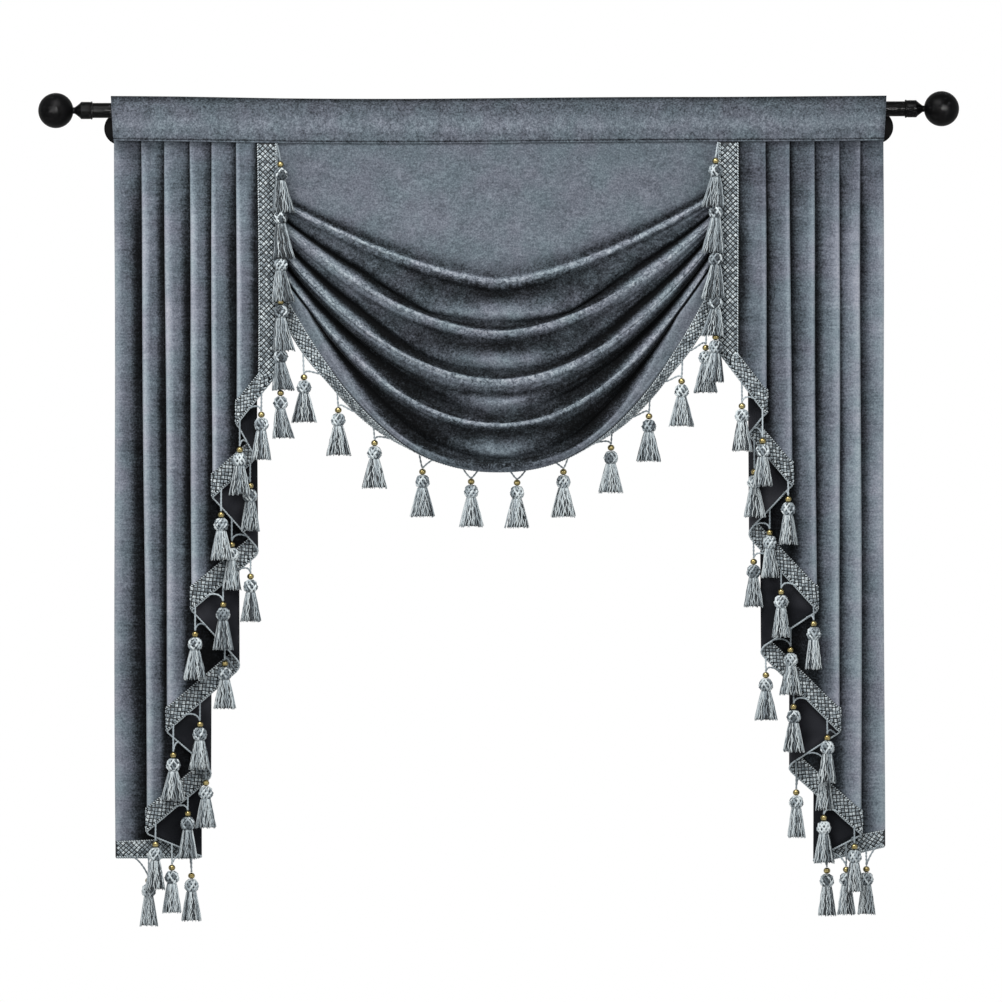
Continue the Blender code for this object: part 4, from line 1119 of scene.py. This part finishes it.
class YarnWork:
    """Many short or long yarns gathered into one mesh, each with its own tone."""

    def __init__(self):
        self.points = []
        self.faces = []
        self.tones = []
        self.count = 0

    def add_mesh(self, points, faces, tone):
        self.points.extend(tuple(p) for p in points)
        self.faces.extend(tuple(i + self.count for i in face) for face in faces)
        self.tones.extend(np.broadcast_to(tone, len(points)).tolist())
        self.count += len(points)

    def add_yarns(self, paths, radii, up, sides, tones):
        """Yarns with paths and ups (yarns, rings, 3) and radii (yarns, rings) or (yarns, rings, sides)."""
        paths = np.asarray(paths, dtype=float)
        along = unit(np.gradient(paths, axis=1))
        side = unit(np.cross(along, up))
        other = np.cross(side, along)
        yarns, rings = paths.shape[:2]
        angles = (2 * np.pi * np.arange(sides) / sides)[None, None, :, None]
        ring = side[:, :, None] * np.cos(angles) + other[:, :, None] * np.sin(angles)
        radii = np.asarray(radii, dtype=float)
        if radii.ndim == 2:
            radii = radii[:, :, None]
        points = paths[:, :, None] + ring * radii[..., None]
        index = self.count + np.arange(yarns * rings * sides).reshape(yarns, rings, sides)
        following = np.roll(index, -1, axis=2)
        quads = np.stack([index[:, :-1], following[:, :-1], following[:, 1:], index[:, 1:]], axis=-1)
        self.points.extend(points.reshape(-1, 3).tolist())
        self.faces.extend(quads.reshape(-1, 4).tolist())
        self.faces.extend(index[:, 0, ::-1].reshape(-1, sides).tolist())
        self.faces.extend(index[:, -1].reshape(-1, sides).tolist())
        self.tones.extend(np.repeat(tones, rings * sides).tolist())
        self.count += yarns * rings * sides

    def piece(self, name, material):
        made = add_piece(name, self.points, self.faces, [material])
        set_trait(made, "yarn_tone", self.tones)
        return made


class Band:
    """A band between two edge lines of points, the outer one and the inner one, with its face normals."""

    def __init__(self, outer, inner, normals):
        middle = (outer + inner) / 2
        self.along = lengths_along(middle)
        self.length = self.along[-1]
        self.outer = outer
        self.inner = inner
        self.normals = normals
        # How far the line across the band leans along it; a wide average keeps it calm at the folds.
        along = unit(np.gradient(middle, axis=0))
        lean = ((inner - outer) * along).sum(axis=1)
        even = np.linspace(0, self.length, 800)
        padded = np.pad(np.interp(even, self.along, lean), LEAN_AVERAGE // 2, mode="edge")
        calm = np.convolve(padded, np.ones(LEAN_AVERAGE) / LEAN_AVERAGE, mode="valid")
        self.lean = np.interp(self.along, even, calm)

    def square(self, along, across):
        """Lengths along the band that put the given places square across it."""
        return along - (across - 0.5) * np.interp(along, self.along, self.lean)

    def at(self, along, across, lift):
        """Points at lengths along the band, shares across it from the outer edge, and heights over it."""
        def read(values):
            return np.stack([np.interp(along, self.along, values[:, i]) for i in range(3)], axis=-1)

        normal = unit(read(self.normals))
        across = np.asarray(across)[..., None]
        lift = np.asarray(lift)[..., None]
        return read(self.outer) * (1 - across) + read(self.inner) * across + normal * lift, normal


def stitch_band(work, band, seed):
    """Plaits one band: lozenges in columns that lean by turns, and a row of small stitches on each edge."""
    dice = np.random.default_rng(seed)
    edge = EDGE_STITCH_WIDTH / BRAID_WIDTH
    inside = (1 - 2 * edge) / LOZENGE_COLUMNS
    share = np.linspace(0, 1, LOZENGE_RINGS)
    arch = np.sin(np.pi * share)
    spare = int(BRAID_WIDTH / LOZENGE_PITCH) + 1
    rows = np.arange(-spare, int(band.length / LOZENGE_PITCH) + spare)
    count = len(rows)
    level = np.ones((count, 1))
    slant = math.sqrt(0.5)
    for column in range(LOZENGE_COLUMNS):
        middle = (rows + 0.5 * (column % 2) + dice.uniform(-0.07, 0.07, count)) * LOZENGE_PITCH
        lean = 1 if column % 2 else -1
        tone = dice.uniform(*LOZENGE_TONES, count)
        for beside, length in LOZENGE_YARNS:
            run = length * (share[None] - 0.5) * slant
            along = middle[:, None] + lean * run - beside * slant
            across = (edge + inside * (column + 0.5) + (run + lean * beside * slant) / BRAID_WIDTH) * level
            along = band.square(along, across)
            kept = (along.min(axis=1) > 0) & (along.max(axis=1) < band.length)
            path, normal = band.at(along, across, BRAID_CORE / 2 + LOZENGE_LIFT * arch[None] * level)
            radii = LOZENGE_YARN * (0.50 + 0.50 * arch[None]) * dice.uniform(0.85, 1.08, (count, 1))
            tones = np.clip(tone + dice.uniform(*PLY_TONES, count), 0, 1)
            work.add_yarns(path[kept], radii[kept], normal[kept], 4, tones[kept])
    count = int(band.length / EDGE_STITCH_PITCH)
    level = np.ones((count, 1))
    middle = (np.arange(count) + 0.5) * EDGE_STITCH_PITCH
    for place in (edge / 2, 1 - edge / 2):
        along = np.clip(middle[:, None] + 0.75 * EDGE_STITCH_PITCH * (share[None] - 0.5), 0, band.length)
        across = place + edge * 0.7 * (share[None] - 0.5)
        path, normal = band.at(along, across * level, BRAID_CORE / 2 + EDGE_STITCH_LIFT * arch[None] * level)
        radii = EDGE_STITCH_YARN * (0.6 + 0.4 * arch[None]) * level
        work.add_yarns(path, radii, normal, 4, dice.uniform(*EDGE_TONES, count))


def hem_cord(work, band, dice):
    """A fine twisted cord along the cloth's very edge, seen from both sides."""
    along = np.arange(0, band.length, HEM_CORD_STEP)
    below = -0.4 * HEM_CORD / BRAID_WIDTH
    path, normal = band.at(along, np.full(len(along), below), np.full(len(along), -BRAID_OVER_CLOTH))
    radii = HEM_CORD * (1 + 0.22 * np.sin(2 * np.pi * np.arange(len(along)) / 3))
    work.add_yarns(path[None], radii[None], normal[None], 5, dice.uniform(*HEM_CORD_TONES, 1))


def tube_faces(index):
    """Faces of a closed tube with rings of point numbers (rings, corners)."""
    beside = np.roll(index, -1, axis=1)
    faces = np.stack([index[:-1], index[1:], beside[1:], beside[:-1]], axis=-1).reshape(-1, 4).tolist()
    faces += [index[0].tolist(), index[-1, ::-1].tolist()]
    return faces


def band_core(work, band):
    """The band's dark woven core, a thin closed strip under its stitches."""
    thick = band.normals * BRAID_CORE / 2
    ring = np.stack([band.outer - thick, band.inner - thick, band.inner + thick, band.outer + thick], axis=1)
    faces = tube_faces(np.arange(len(ring) * 4).reshape(-1, 4))
    work.add_mesh(ring.reshape(-1, 3).tolist(), faces, 0.06)


def line_normals(outer, inner, facing):
    """Face normals along a band, on the side that starts out facing the given way."""
    along = np.gradient((outer + inner) / 2, axis=0)
    normals = unit(np.cross(along, inner - outer))
    if np.dot(normals[0], facing) < 0:
        normals = -normals
    return normals


def tail_band(folds, side):
    """The tail's braid: down the inner edge on the first face, then along the stepped hem."""
    share = BRAID_WIDTH / (folds[1][0] - folds[0][0])
    outer = []
    inner = []
    drop = tail_hem(folds, (0, "run", 0.0))[0]
    cut_drop, height = tail_hem(folds, (0, "run", share))
    for i in range(100):
        z = blend(BRAID_TOP, -drop, i / 100)
        corner_z = blend(BRAID_TOP, -cut_drop + height, i / 100)
        outer.append(tail_plan(folds, side, (0, "run", 0.0), z))
        inner.append(tail_plan(folds, side, (0, "run", share), corner_z))
    places = [place for place in tail_places() if place[0] > 0 or place[2] >= share]
    for place in [(0, "run", share * i / 6) for i in range(6)]:
        outer.append(tail_plan(folds, side, place, -tail_hem(folds, place)[0]))
        inner.append(tail_plan(folds, side, (0, "run", share), -cut_drop + height))
    for place in places:
        drop, height = tail_hem(folds, place)
        outer.append(tail_plan(folds, side, place, -drop))
        inner.append(tail_plan(folds, side, place, -drop + height))
    outer = np.array(outer)
    inner = np.array(inner)
    normals = line_normals(outer, inner, (0, -1, 0))
    lift = normals * BRAID_OVER_CLOTH
    return Band(outer + lift, inner + lift, normals)


braid_yarn = yarn_material("braid_yarn", 0.5)
swag_hem = swag_grid[-1]
# Each point of the hem is paired with the nearest point of the braid's inner edge, so that the plait
# runs square.
swag_cut = spaced(swag_grid[-1 - SWAG_STEPS], 1500)
nearest = np.linalg.norm(swag_hem[:, None] - swag_cut[None], axis=2).argmin(axis=1)
swag_cut = swag_cut[np.maximum.accumulate(nearest)]
swag_normals = line_normals(swag_hem, swag_cut, (0, -1, 0))
swag_lift = swag_normals * BRAID_OVER_CLOTH
bands = {
    "swag": Band(swag_hem + swag_lift, swag_cut + swag_lift, swag_normals),
    "tail_left": tail_band(TAIL_FOLDS_LEFT, -1),
    "tail_right": tail_band(TAIL_FOLDS_RIGHT, 1),
}
braids = {}
for seed, (name, band) in enumerate(bands.items()):
    work = YarnWork()
    band_core(work, band)
    stitch_band(work, band, seed)
    hem_cord(work, band, np.random.default_rng(seed))
    braids[name] = work.piece("braid_" + name, braid_yarn)
    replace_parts(braids[name], "fringe_" + name)

# ---- tassels -----------------------------------------------------------------------------
# Each tassel hangs on two legs of twisted cord sewn to the hem: a gold-coloured bead, a knotted
# ball head, and a skirt of loose silky yarns in a pale and a dark ply.
FLAT_SHARE = 0.45
# One row for each tassel on a tail: the fold before it (0 is the inner edge), the share of the way to
# the next fold, its width, and the length of its cord below the hem.  The last one on the right tail
# hangs flat between two flutes, half hidden by another.
TAIL_TASSELS_LEFT = (
    # fold, share, width, cord
    (0, 0.40, 0.038, 0.052),
    (0, 0.98, 0.042, 0.068),
    (2, 0.03, 0.036, 0.054),
    (2, 0.83, 0.042, 0.060),
    (3, 0.42, 0.036, 0.061),
    (4, 0.07, 0.040, 0.042),
    (4, 0.52, 0.038, 0.052),
    (4, 0.98, 0.044, 0.064),
    (5, 0.73, 0.042, 0.045),
    (6, 0.54, 0.040, 0.053),
    (6, 0.94, 0.048, 0.068),
    (7, 0.95, 0.040, 0.045),
    (8, 0.34, 0.036, 0.043),
    (8, 0.89, 0.040, 0.050),
    (9, 0.46, 0.036, 0.057),
    (9, 0.86, 0.038, 0.057),
    (10, 0.60, 0.036, 0.055),
)
TAIL_TASSELS_RIGHT = (
    # fold, share, width, cord
    (0, 0.50, 0.038, 0.057),
    (0, 0.96, 0.038, 0.072),
    (2, 0.05, 0.042, 0.071),
    (2, 0.95, 0.036, 0.046),
    (3, 0.54, 0.034, 0.057),
    (4, 0.02, 0.038, 0.050),
    (4, 0.46, 0.034, 0.051),
    (4, 0.98, 0.032, 0.045),
    (5, 0.48, 0.042, 0.052),
    (6, 0.02, 0.044, 0.043),
    (6, 0.40, 0.040, 0.051),
    (6, 0.86, 0.034, 0.046),
    (7, 0.92, 0.034, 0.073),
    (8, 0.47, 0.040, 0.044),
    (8, 0.93, 0.036, 0.047),
    (9, 0.30, 0.034, 0.063),
    (9, 0.76, 0.034, 0.046),
    (10, 0.72, 0.034, 0.046),
    (7, 0.29, 0.034, 0.055, FLAT_SHARE),
)
# One row for each tassel on a tail's inner edge: drop of its root below the rod's axis, cord length and
# skirt length.  A skirt that reaches the next tassel hides its bead.
EDGE_TASSELS_LEFT = (
    (0.099, 0.006, 0.062), (0.182, 0.006, 0.069), (0.273, 0.006, 0.060), (0.364, 0.006, 0.064),
    (0.450, 0.006, 0.054), (0.493, 0.053, 0.0565),
)
EDGE_TASSELS_RIGHT = (
    (0.094, 0.006, 0.058), (0.173, 0.006, 0.068), (0.264, 0.006, 0.064), (0.349, 0.006, 0.052),
    (0.434, 0.006, 0.0565),
)
# How far a cord's root lies above the hem, and how far a bead hangs in front of a face, of a return, and
# beside and in front of a tail's inner edge.
HEM_ROOT = 0.004
BEFORE_FACE = 0.012
BEFORE_RETURN = 0.004
BESIDE_EDGE = 0.011
BEFORE_EDGE = 0.0155
# One row for each tassel on the swag: distance from the part's middle, cord length.
SWAG_TASSELS = (
    (-0.3770, 0.057), (-0.3110, 0.041), (-0.2410, 0.038), (-0.1485, 0.046), (-0.0545, 0.055),
    (0.0340, 0.057), (0.1235, 0.044), (0.2155, 0.036), (0.2890, 0.040), (0.3520, 0.050), (0.3990, 0.058),
)
SWAG_TASSEL_WIDTH = 0.047
EDGE_TASSEL_WIDTH = 0.043
EDGE_LEAN = 0.006
CORD_RADIUS = 0.0016
CORD_RINGS = 22
CORD_SIDES = 6
CORD_LAY = 0.0075
CORD_TONES = (0.50, 0.78)
BEAD_SPACE = 0.017
CORD_SHORTER = 0.006
# The second leg is sewn further along the hem, by a length and by a share of the cord's length.
HEM_LEGS = (0.018, 0.45)
# A leg starts this far in front of its place on a stepped hem, and this far below it.
LEG_FORWARD = 0.0010
LEG_BELOW_RETURN = HEM_ROOT + 0.0008
LEG_BELOW_FACE = 0.0015
# How far apart a swag tassel's two legs leave the hem: towards the side and towards the middle, for a
# tassel at the swag's middle and for one beyond LEVEL_HEM.
OUTER_LEG = (0.040, 0.002)
INNER_LEG = (0.031, 0.036)
INNER_ARCH = 0.018
LEVEL_HEM = 0.20
# How a straight and an arched leg of a swag tassel leave the hem and come to the bead: each time as a
# share of the leg's own reach to the side, and as a rise.
STRAIGHT_LEADS = ((-0.30, -0.006), (0.40, 0.007))
ARCH_LEADS = ((-0.45, 0.001), (0.12, 0.011))
BEAD_RADIUS = 0.0067
KNOT_RADIUS = 0.0134
KNOT_HEIGHT = 0.0145
KNOT_YARN = 0.0023
KNOT_YARNS = 8
KNOT_RINGS = 9
SKIRT_YARNS = 58
SKIRT_RINGS = 12
SKIRT_YARN = 0.00120
SKIRT_NECK = 0.0086
SKIRT_WAVE = 0.0015
SKIRT_CORE = (36, 7, 0.82)
SKIRT_LENGTH = 0.0565
SKIRT_DEPTH = 0.0130
# The most that a knot's and a skirt's yarns are darker and paler than their tassel's tone, and the share
# of a skirt's yarns that are dark, and how dark.
KNOT_TONES = (-0.42, 0.42)
SKIRT_TONES = (-0.32, 0.26)
DARK_YARNS = 0.22
DARK_TONE = 0.28
# Tone of the yarns of a tassel that hangs free, and of one on a tail's inner edge.
HANGING_TONE = 0.89
EDGE_TONE = 0.71


def hem_point(folds, side, index, share):
    """Where a cord is sewn: a point just above the hem on the run after the given fold."""
    place = (index, "run", share)
    drop = tail_hem(folds, place)[0]
    return np.array(tail_plan(folds, side, place, -drop + HEM_ROOT))


def next_hem_point(folds, side, index, share, length):
    """The point that lies a length of hem further along the tail's path, and the fold before it."""
    here = hem_point(folds, side, index, share)
    while length > 0 and index < 11:
        share += 0.02
        if share >= 1.0:
            index, share = index + 1, 0.0
            if index == 11:
                return here, 10
        there = hem_point(folds, side, index, share)
        length -= np.linalg.norm(there - here)
        here = there
    return here, index


def cord_leg(start, end, start_lead, end_lead):
    """A smooth curve of CORD_RINGS points between two ends, leaving along the leads."""
    start, end = np.array(start), np.array(end)
    a, b = start + np.array(start_lead), end + np.array(end_lead)
    t = np.linspace(0, 1, CORD_RINGS)[:, None]
    return start * (1 - t) ** 3 + 3 * a * t * (1 - t) ** 2 + 3 * b * t * t * (1 - t) + end * t ** 3


def add_cords(work, legs, dice):
    """Two-ply twisted cords: the round section is squeezed, and turns as it runs along."""
    paths = np.array(legs)
    length = np.linalg.norm(np.diff(paths, axis=1), axis=2).sum(axis=1)
    turn = np.linspace(0, 1, CORD_RINGS)[None] * (2 * np.pi * length / CORD_LAY)[:, None]
    angles = 2 * np.pi * np.arange(CORD_SIDES) / CORD_SIDES
    radii = CORD_RADIUS * (1 + 0.24 * np.cos(2 * angles[None, None] - turn[:, :, None]))
    up = np.zeros_like(paths)
    up[:, :, 1] = -1.0
    work.add_yarns(paths, radii, up, CORD_SIDES, dice.uniform(*CORD_TONES, len(paths)))


def add_ball(work, centre, radius, height, segments, rings, tone):
    """A ball or a flattened ball, turned about its upright axis."""
    angles = [math.pi * i / rings for i in range(1, rings)]
    profile = [(height * math.cos(angle), radius * math.sin(angle)) for angle in angles]
    profile = [(height, 0)] + profile + [(-height, 0)]
    points, faces = turned_rings(
        profile, segments, lambda up, x, y: (centre[0] + x, centre[1] + y, centre[2] + up)
    )
    work.add_mesh(points, [face[::-1] for face in faces], tone)


def add_knot(work, centre, flat, tone, dice):
    """The tassel's knotted head: two families of fat yarns wound slantwise over a ball painted dark as the
    shade between them.
    """
    # The ball under the yarns is painted dark, as painted shade between them.
    add_ball(work, centre, (KNOT_RADIUS - 0.0028) * flat, KNOT_HEIGHT - 0.0028, 12, 8, 0.20)
    share = np.linspace(-1, 1, KNOT_RINGS)
    rise = np.radians(68) * share
    for lean in (-1, 1):
        number = np.arange(KNOT_YARNS) + 0.25 * lean + dice.uniform(-0.12, 0.12, KNOT_YARNS)
        start = 2 * np.pi * number / KNOT_YARNS
        turn = start[:, None] + lean * 0.95 * share[None]
        over = 0.0010 * lean * np.cos(np.pi * 2.6 * share)
        out = (KNOT_RADIUS - KNOT_YARN * 0.75 + over) * np.cos(rise)
        paths = np.stack([
            centre[0] + out[None] * np.cos(turn),
            centre[1] + out[None] * np.sin(turn) * flat,
            centre[2] + (KNOT_HEIGHT - KNOT_YARN * 0.75) * np.sin(rise)[None] * np.ones_like(turn),
        ], axis=-1)
        lumps = 1 + 0.32 * np.sin(share[None] * 9.0 + dice.uniform(0, 6.3, (KNOT_YARNS, 1)))
        radii = KNOT_YARN * (0.62 + 0.34 * np.cos(rise))[None] * lumps
        tones = np.clip(tone - 0.14 + dice.uniform(*KNOT_TONES, KNOT_YARNS), 0, 1)
        work.add_yarns(paths, radii, paths - np.array(centre), 4, tones)


def add_skirt(work, neck, width, depth, length, lean, tone, dice):
    """The tassel's skirt: wavy yarns that fall from the neck over a fluted core painted dark as the shade
    among them; lean is sideways.
    """
    def cone(angle, fall, reach):
        across = blend(SKIRT_NECK, width / 2, fall ** 0.92)
        thick = blend(min(SKIRT_NECK, depth * 0.8), depth, fall ** 0.92)
        return np.stack([
            neck[0] + reach * across * np.cos(angle) + lean * fall ** 1.3,
            neck[1] + reach * thick * np.sin(angle),
            neck[2] - length * fall * np.ones_like(angle),
        ], axis=-1)

    segments, rings, inside = SKIRT_CORE
    angle = 2 * np.pi * np.arange(segments)[None] / segments
    fall = np.linspace(0, 0.97, rings)[:, None]
    core = cone(angle, fall, inside + 0.06 * (np.arange(segments) % 2)[None])
    faces = tube_faces(np.arange(rings * segments).reshape(rings, segments))
    # The core is painted dark, as painted shade among the yarns.
    work.add_mesh(core.reshape(-1, 3).tolist(), faces, np.tile(dice.uniform(0.0, 0.20, segments), rings))
    angle = 2 * np.pi * (np.arange(SKIRT_YARNS) + dice.uniform(-0.5, 0.5, SKIRT_YARNS))[:, None] / SKIRT_YARNS
    fall = np.linspace(0, 1, SKIRT_RINGS)[None] * dice.uniform(0.94, 1.02, (SKIRT_YARNS, 1))
    paths = cone(angle, fall, dice.uniform(0.86, 1.06, (SKIRT_YARNS, 1)))
    waves = dice.uniform(9, 18, (SKIRT_YARNS, 1))
    start = dice.uniform(0, 6.3, (SKIRT_YARNS, 1))
    wave = SKIRT_WAVE * np.sin(fall * waves + start) * np.minimum(fall * 4, 1)
    paths[:, :, 0] += wave * np.abs(np.sin(angle))
    paths[:, :, 1] += wave * np.cos(angle)
    radii = SKIRT_YARN * (1.0 - 0.22 * fall) * dice.uniform(0.75, 1.15, (SKIRT_YARNS, 1))
    up = np.zeros_like(paths)
    up[:, :, 1] = -1.0
    # Neighbouring yarns keep together in pale and darker plies.
    ply = tone + 0.10 * np.sin(angle[:, 0] * dice.integers(3, 6) + dice.uniform(0, 6.3))
    tones = np.clip(ply + dice.uniform(*SKIRT_TONES, SKIRT_YARNS), 0, 1)
    dark = dice.uniform(0, 1, SKIRT_YARNS) < DARK_YARNS
    work.add_yarns(paths, radii, up, 3, np.where(dark, tones * DARK_TONE, tones))


def add_tassel(work, beads, top, width, skirt, lean, flat, tone, dice):
    """One tassel below a point: bead, knotted head and skirt; flat squeezes it towards the wall."""
    add_ball(beads, (top[0], top[1], top[2] - BEAD_RADIUS), BEAD_RADIUS, BEAD_RADIUS * 0.92, 14, 9, 0.5)
    knot = (top[0], top[1], top[2] - 2 * BEAD_RADIUS - KNOT_HEIGHT + 0.0018)
    add_knot(work, knot, flat, tone, dice)
    neck = (knot[0], knot[1], knot[2] - KNOT_HEIGHT * 0.80)
    add_skirt(work, neck, width, min(width * 0.36, SKIRT_DEPTH) * flat, skirt, lean, tone, dice)


aged_gold, tree, shader = new_material("aged_gold_bead", {"Metallic": 1.0})
tarnish = add_noise(tree, object_place(tree), 120.0)
gold = colour_steps(tree, tarnish, ((0.25, (0.300, 0.225, 0.080)), (0.65, (0.520, 0.430, 0.200))))
dress(tree, shader, gold, add_range(tree, tarnish, 0.26, 0.12))
tassel_yarn = yarn_material("tassel_yarn", 0.38)


def fringe_pieces(name, hangings, seed):
    """Makes the tassels and the beads of one fringe from (top, legs, width, skirt, lean, flat, tone) rows."""
    dice = np.random.default_rng(seed)
    work = YarnWork()
    beads = YarnWork()
    for top, legs, width, skirt, lean, flat, tone in hangings:
        add_cords(work, legs, dice)
        add_tassel(work, beads, top, width, skirt, lean, flat, tone, dice)
    return work.piece("tassels_" + name, tassel_yarn), beads.piece("beads_" + name, aged_gold)


def hem_hanging(folds, side, index, share, width, cord, flat=1.0):
    """A tassel on a stepped hem: one leg straight up, and one that arches over to the hem further down."""
    root = hem_point(folds, side, index, share)
    before = BEFORE_RETURN if index % 2 else BEFORE_FACE
    top = root + np.array((0, -before, -HEM_ROOT - cord + BEAD_SPACE))
    second, second_index = next_hem_point(folds, side, index, share, HEM_LEGS[0] + HEM_LEGS[1] * cord)
    reach = second[0] - top[0]
    under, second_under = [
        np.array((0, -LEG_FORWARD, -LEG_BELOW_RETURN if i % 2 else -LEG_BELOW_FACE))
        for i in (index, second_index)
    ]
    legs = [
        cord_leg(root + under, top, (0, -0.001, -0.012), (0, 0, 0.014)),
        cord_leg(second + second_under, top, (-0.45 * reach, -0.002, 0.007), (0.10 * reach, -0.001, 0.014)),
    ]
    return top, legs, width, SKIRT_LENGTH, 0.0, flat, HANGING_TONE


def edge_hanging(folds, side, drop, cord, skirt):
    """A tassel on a tail's inner edge, where its two legs lie close together."""
    root = np.array(tail_plan(folds, side, (0, "run", 0.04), -drop))
    top = root + np.array((-side * BESIDE_EDGE, -BEFORE_EDGE, -max(cord - CORD_SHORTER, 0.0)))
    upper = np.array(tail_plan(folds, side, (0, "run", 0.02), min(-drop + 0.030, BRAID_TOP)))
    low_start = root + np.array((0, -0.002, 0.010))
    high_start = upper + np.array((-side * 0.004, -0.002, 0))
    legs = [
        cord_leg(low_start, top, (-side * 0.004, -0.006, 0.004), (0, 0.002, 0.008)),
        cord_leg(high_start, top, (-side * 0.002, -0.006, -0.008), (side * 0.002, 0, 0.014)),
    ]
    return top, legs, EDGE_TASSEL_WIDTH, skirt, -side * EDGE_LEAN, 1.0, EDGE_TONE


def swag_hem_point(x):
    line = swag_line(x)[0]
    cut, hem = line[-2:]
    above = 0.004 * smooth((hem[1] - cut[1]) / HEM_RISE_AT_MIDDLE)
    return np.array((x, FRONT_PLANE + blend(hem[0], cut[0], 0.1), blend(hem[1], cut[1], 0.1) + above))


def swag_hanging(x, cord):
    """A tassel on the swag's hem: its legs make a V at the middle, and an arch and a straight leg aside."""
    root = swag_hem_point(x)
    top = root + np.array((0, 0, -HEM_ROOT - cord + BEAD_SPACE))
    outwards = 1 if x > 0 else -1
    share = smooth(abs(x) / LEVEL_HEM)
    first = swag_hem_point(x + outwards * blend(*OUTER_LEG, share))
    inner = blend(*INNER_LEG, share) + INNER_ARCH * math.sin(math.pi * share ** 2)
    second = swag_hem_point(x - outwards * inner)
    legs = []
    for start, arched in ((first, 0.0), (second, share)):
        reach = start[0] - top[0]
        leads = [
            (blend(straight[0], arch[0], arched) * reach, 0, blend(straight[1], arch[1], arched))
            for straight, arch in zip(STRAIGHT_LEADS, ARCH_LEADS)
        ]
        legs.append(cord_leg(start, top, *leads))
    return top, legs, SWAG_TASSEL_WIDTH, SKIRT_LENGTH, 0.0, 1.0, HANGING_TONE


def tail_hangings(folds, side, hem_rows, edge_rows):
    on_hem = [hem_hanging(folds, side, *row) for row in hem_rows]
    return on_hem + [edge_hanging(folds, side, *row) for row in edge_rows]


fringes = {
    "swag": (swag, swag_grid, [swag_hanging(*row) for row in SWAG_TASSELS]),
    "tail_left": (
        tail_left, left_grid,
        tail_hangings(TAIL_FOLDS_LEFT, -1, TAIL_TASSELS_LEFT, EDGE_TASSELS_LEFT),
    ),
    "tail_right": (
        tail_right, right_grid,
        tail_hangings(TAIL_FOLDS_RIGHT, 1, TAIL_TASSELS_RIGHT, EDGE_TASSELS_RIGHT),
    ),
}
for seed, (name, (cloth, grid, hangings)) in enumerate(fringes.items()):
    tassels, beads = fringe_pieces(name, hangings, 10 + seed)
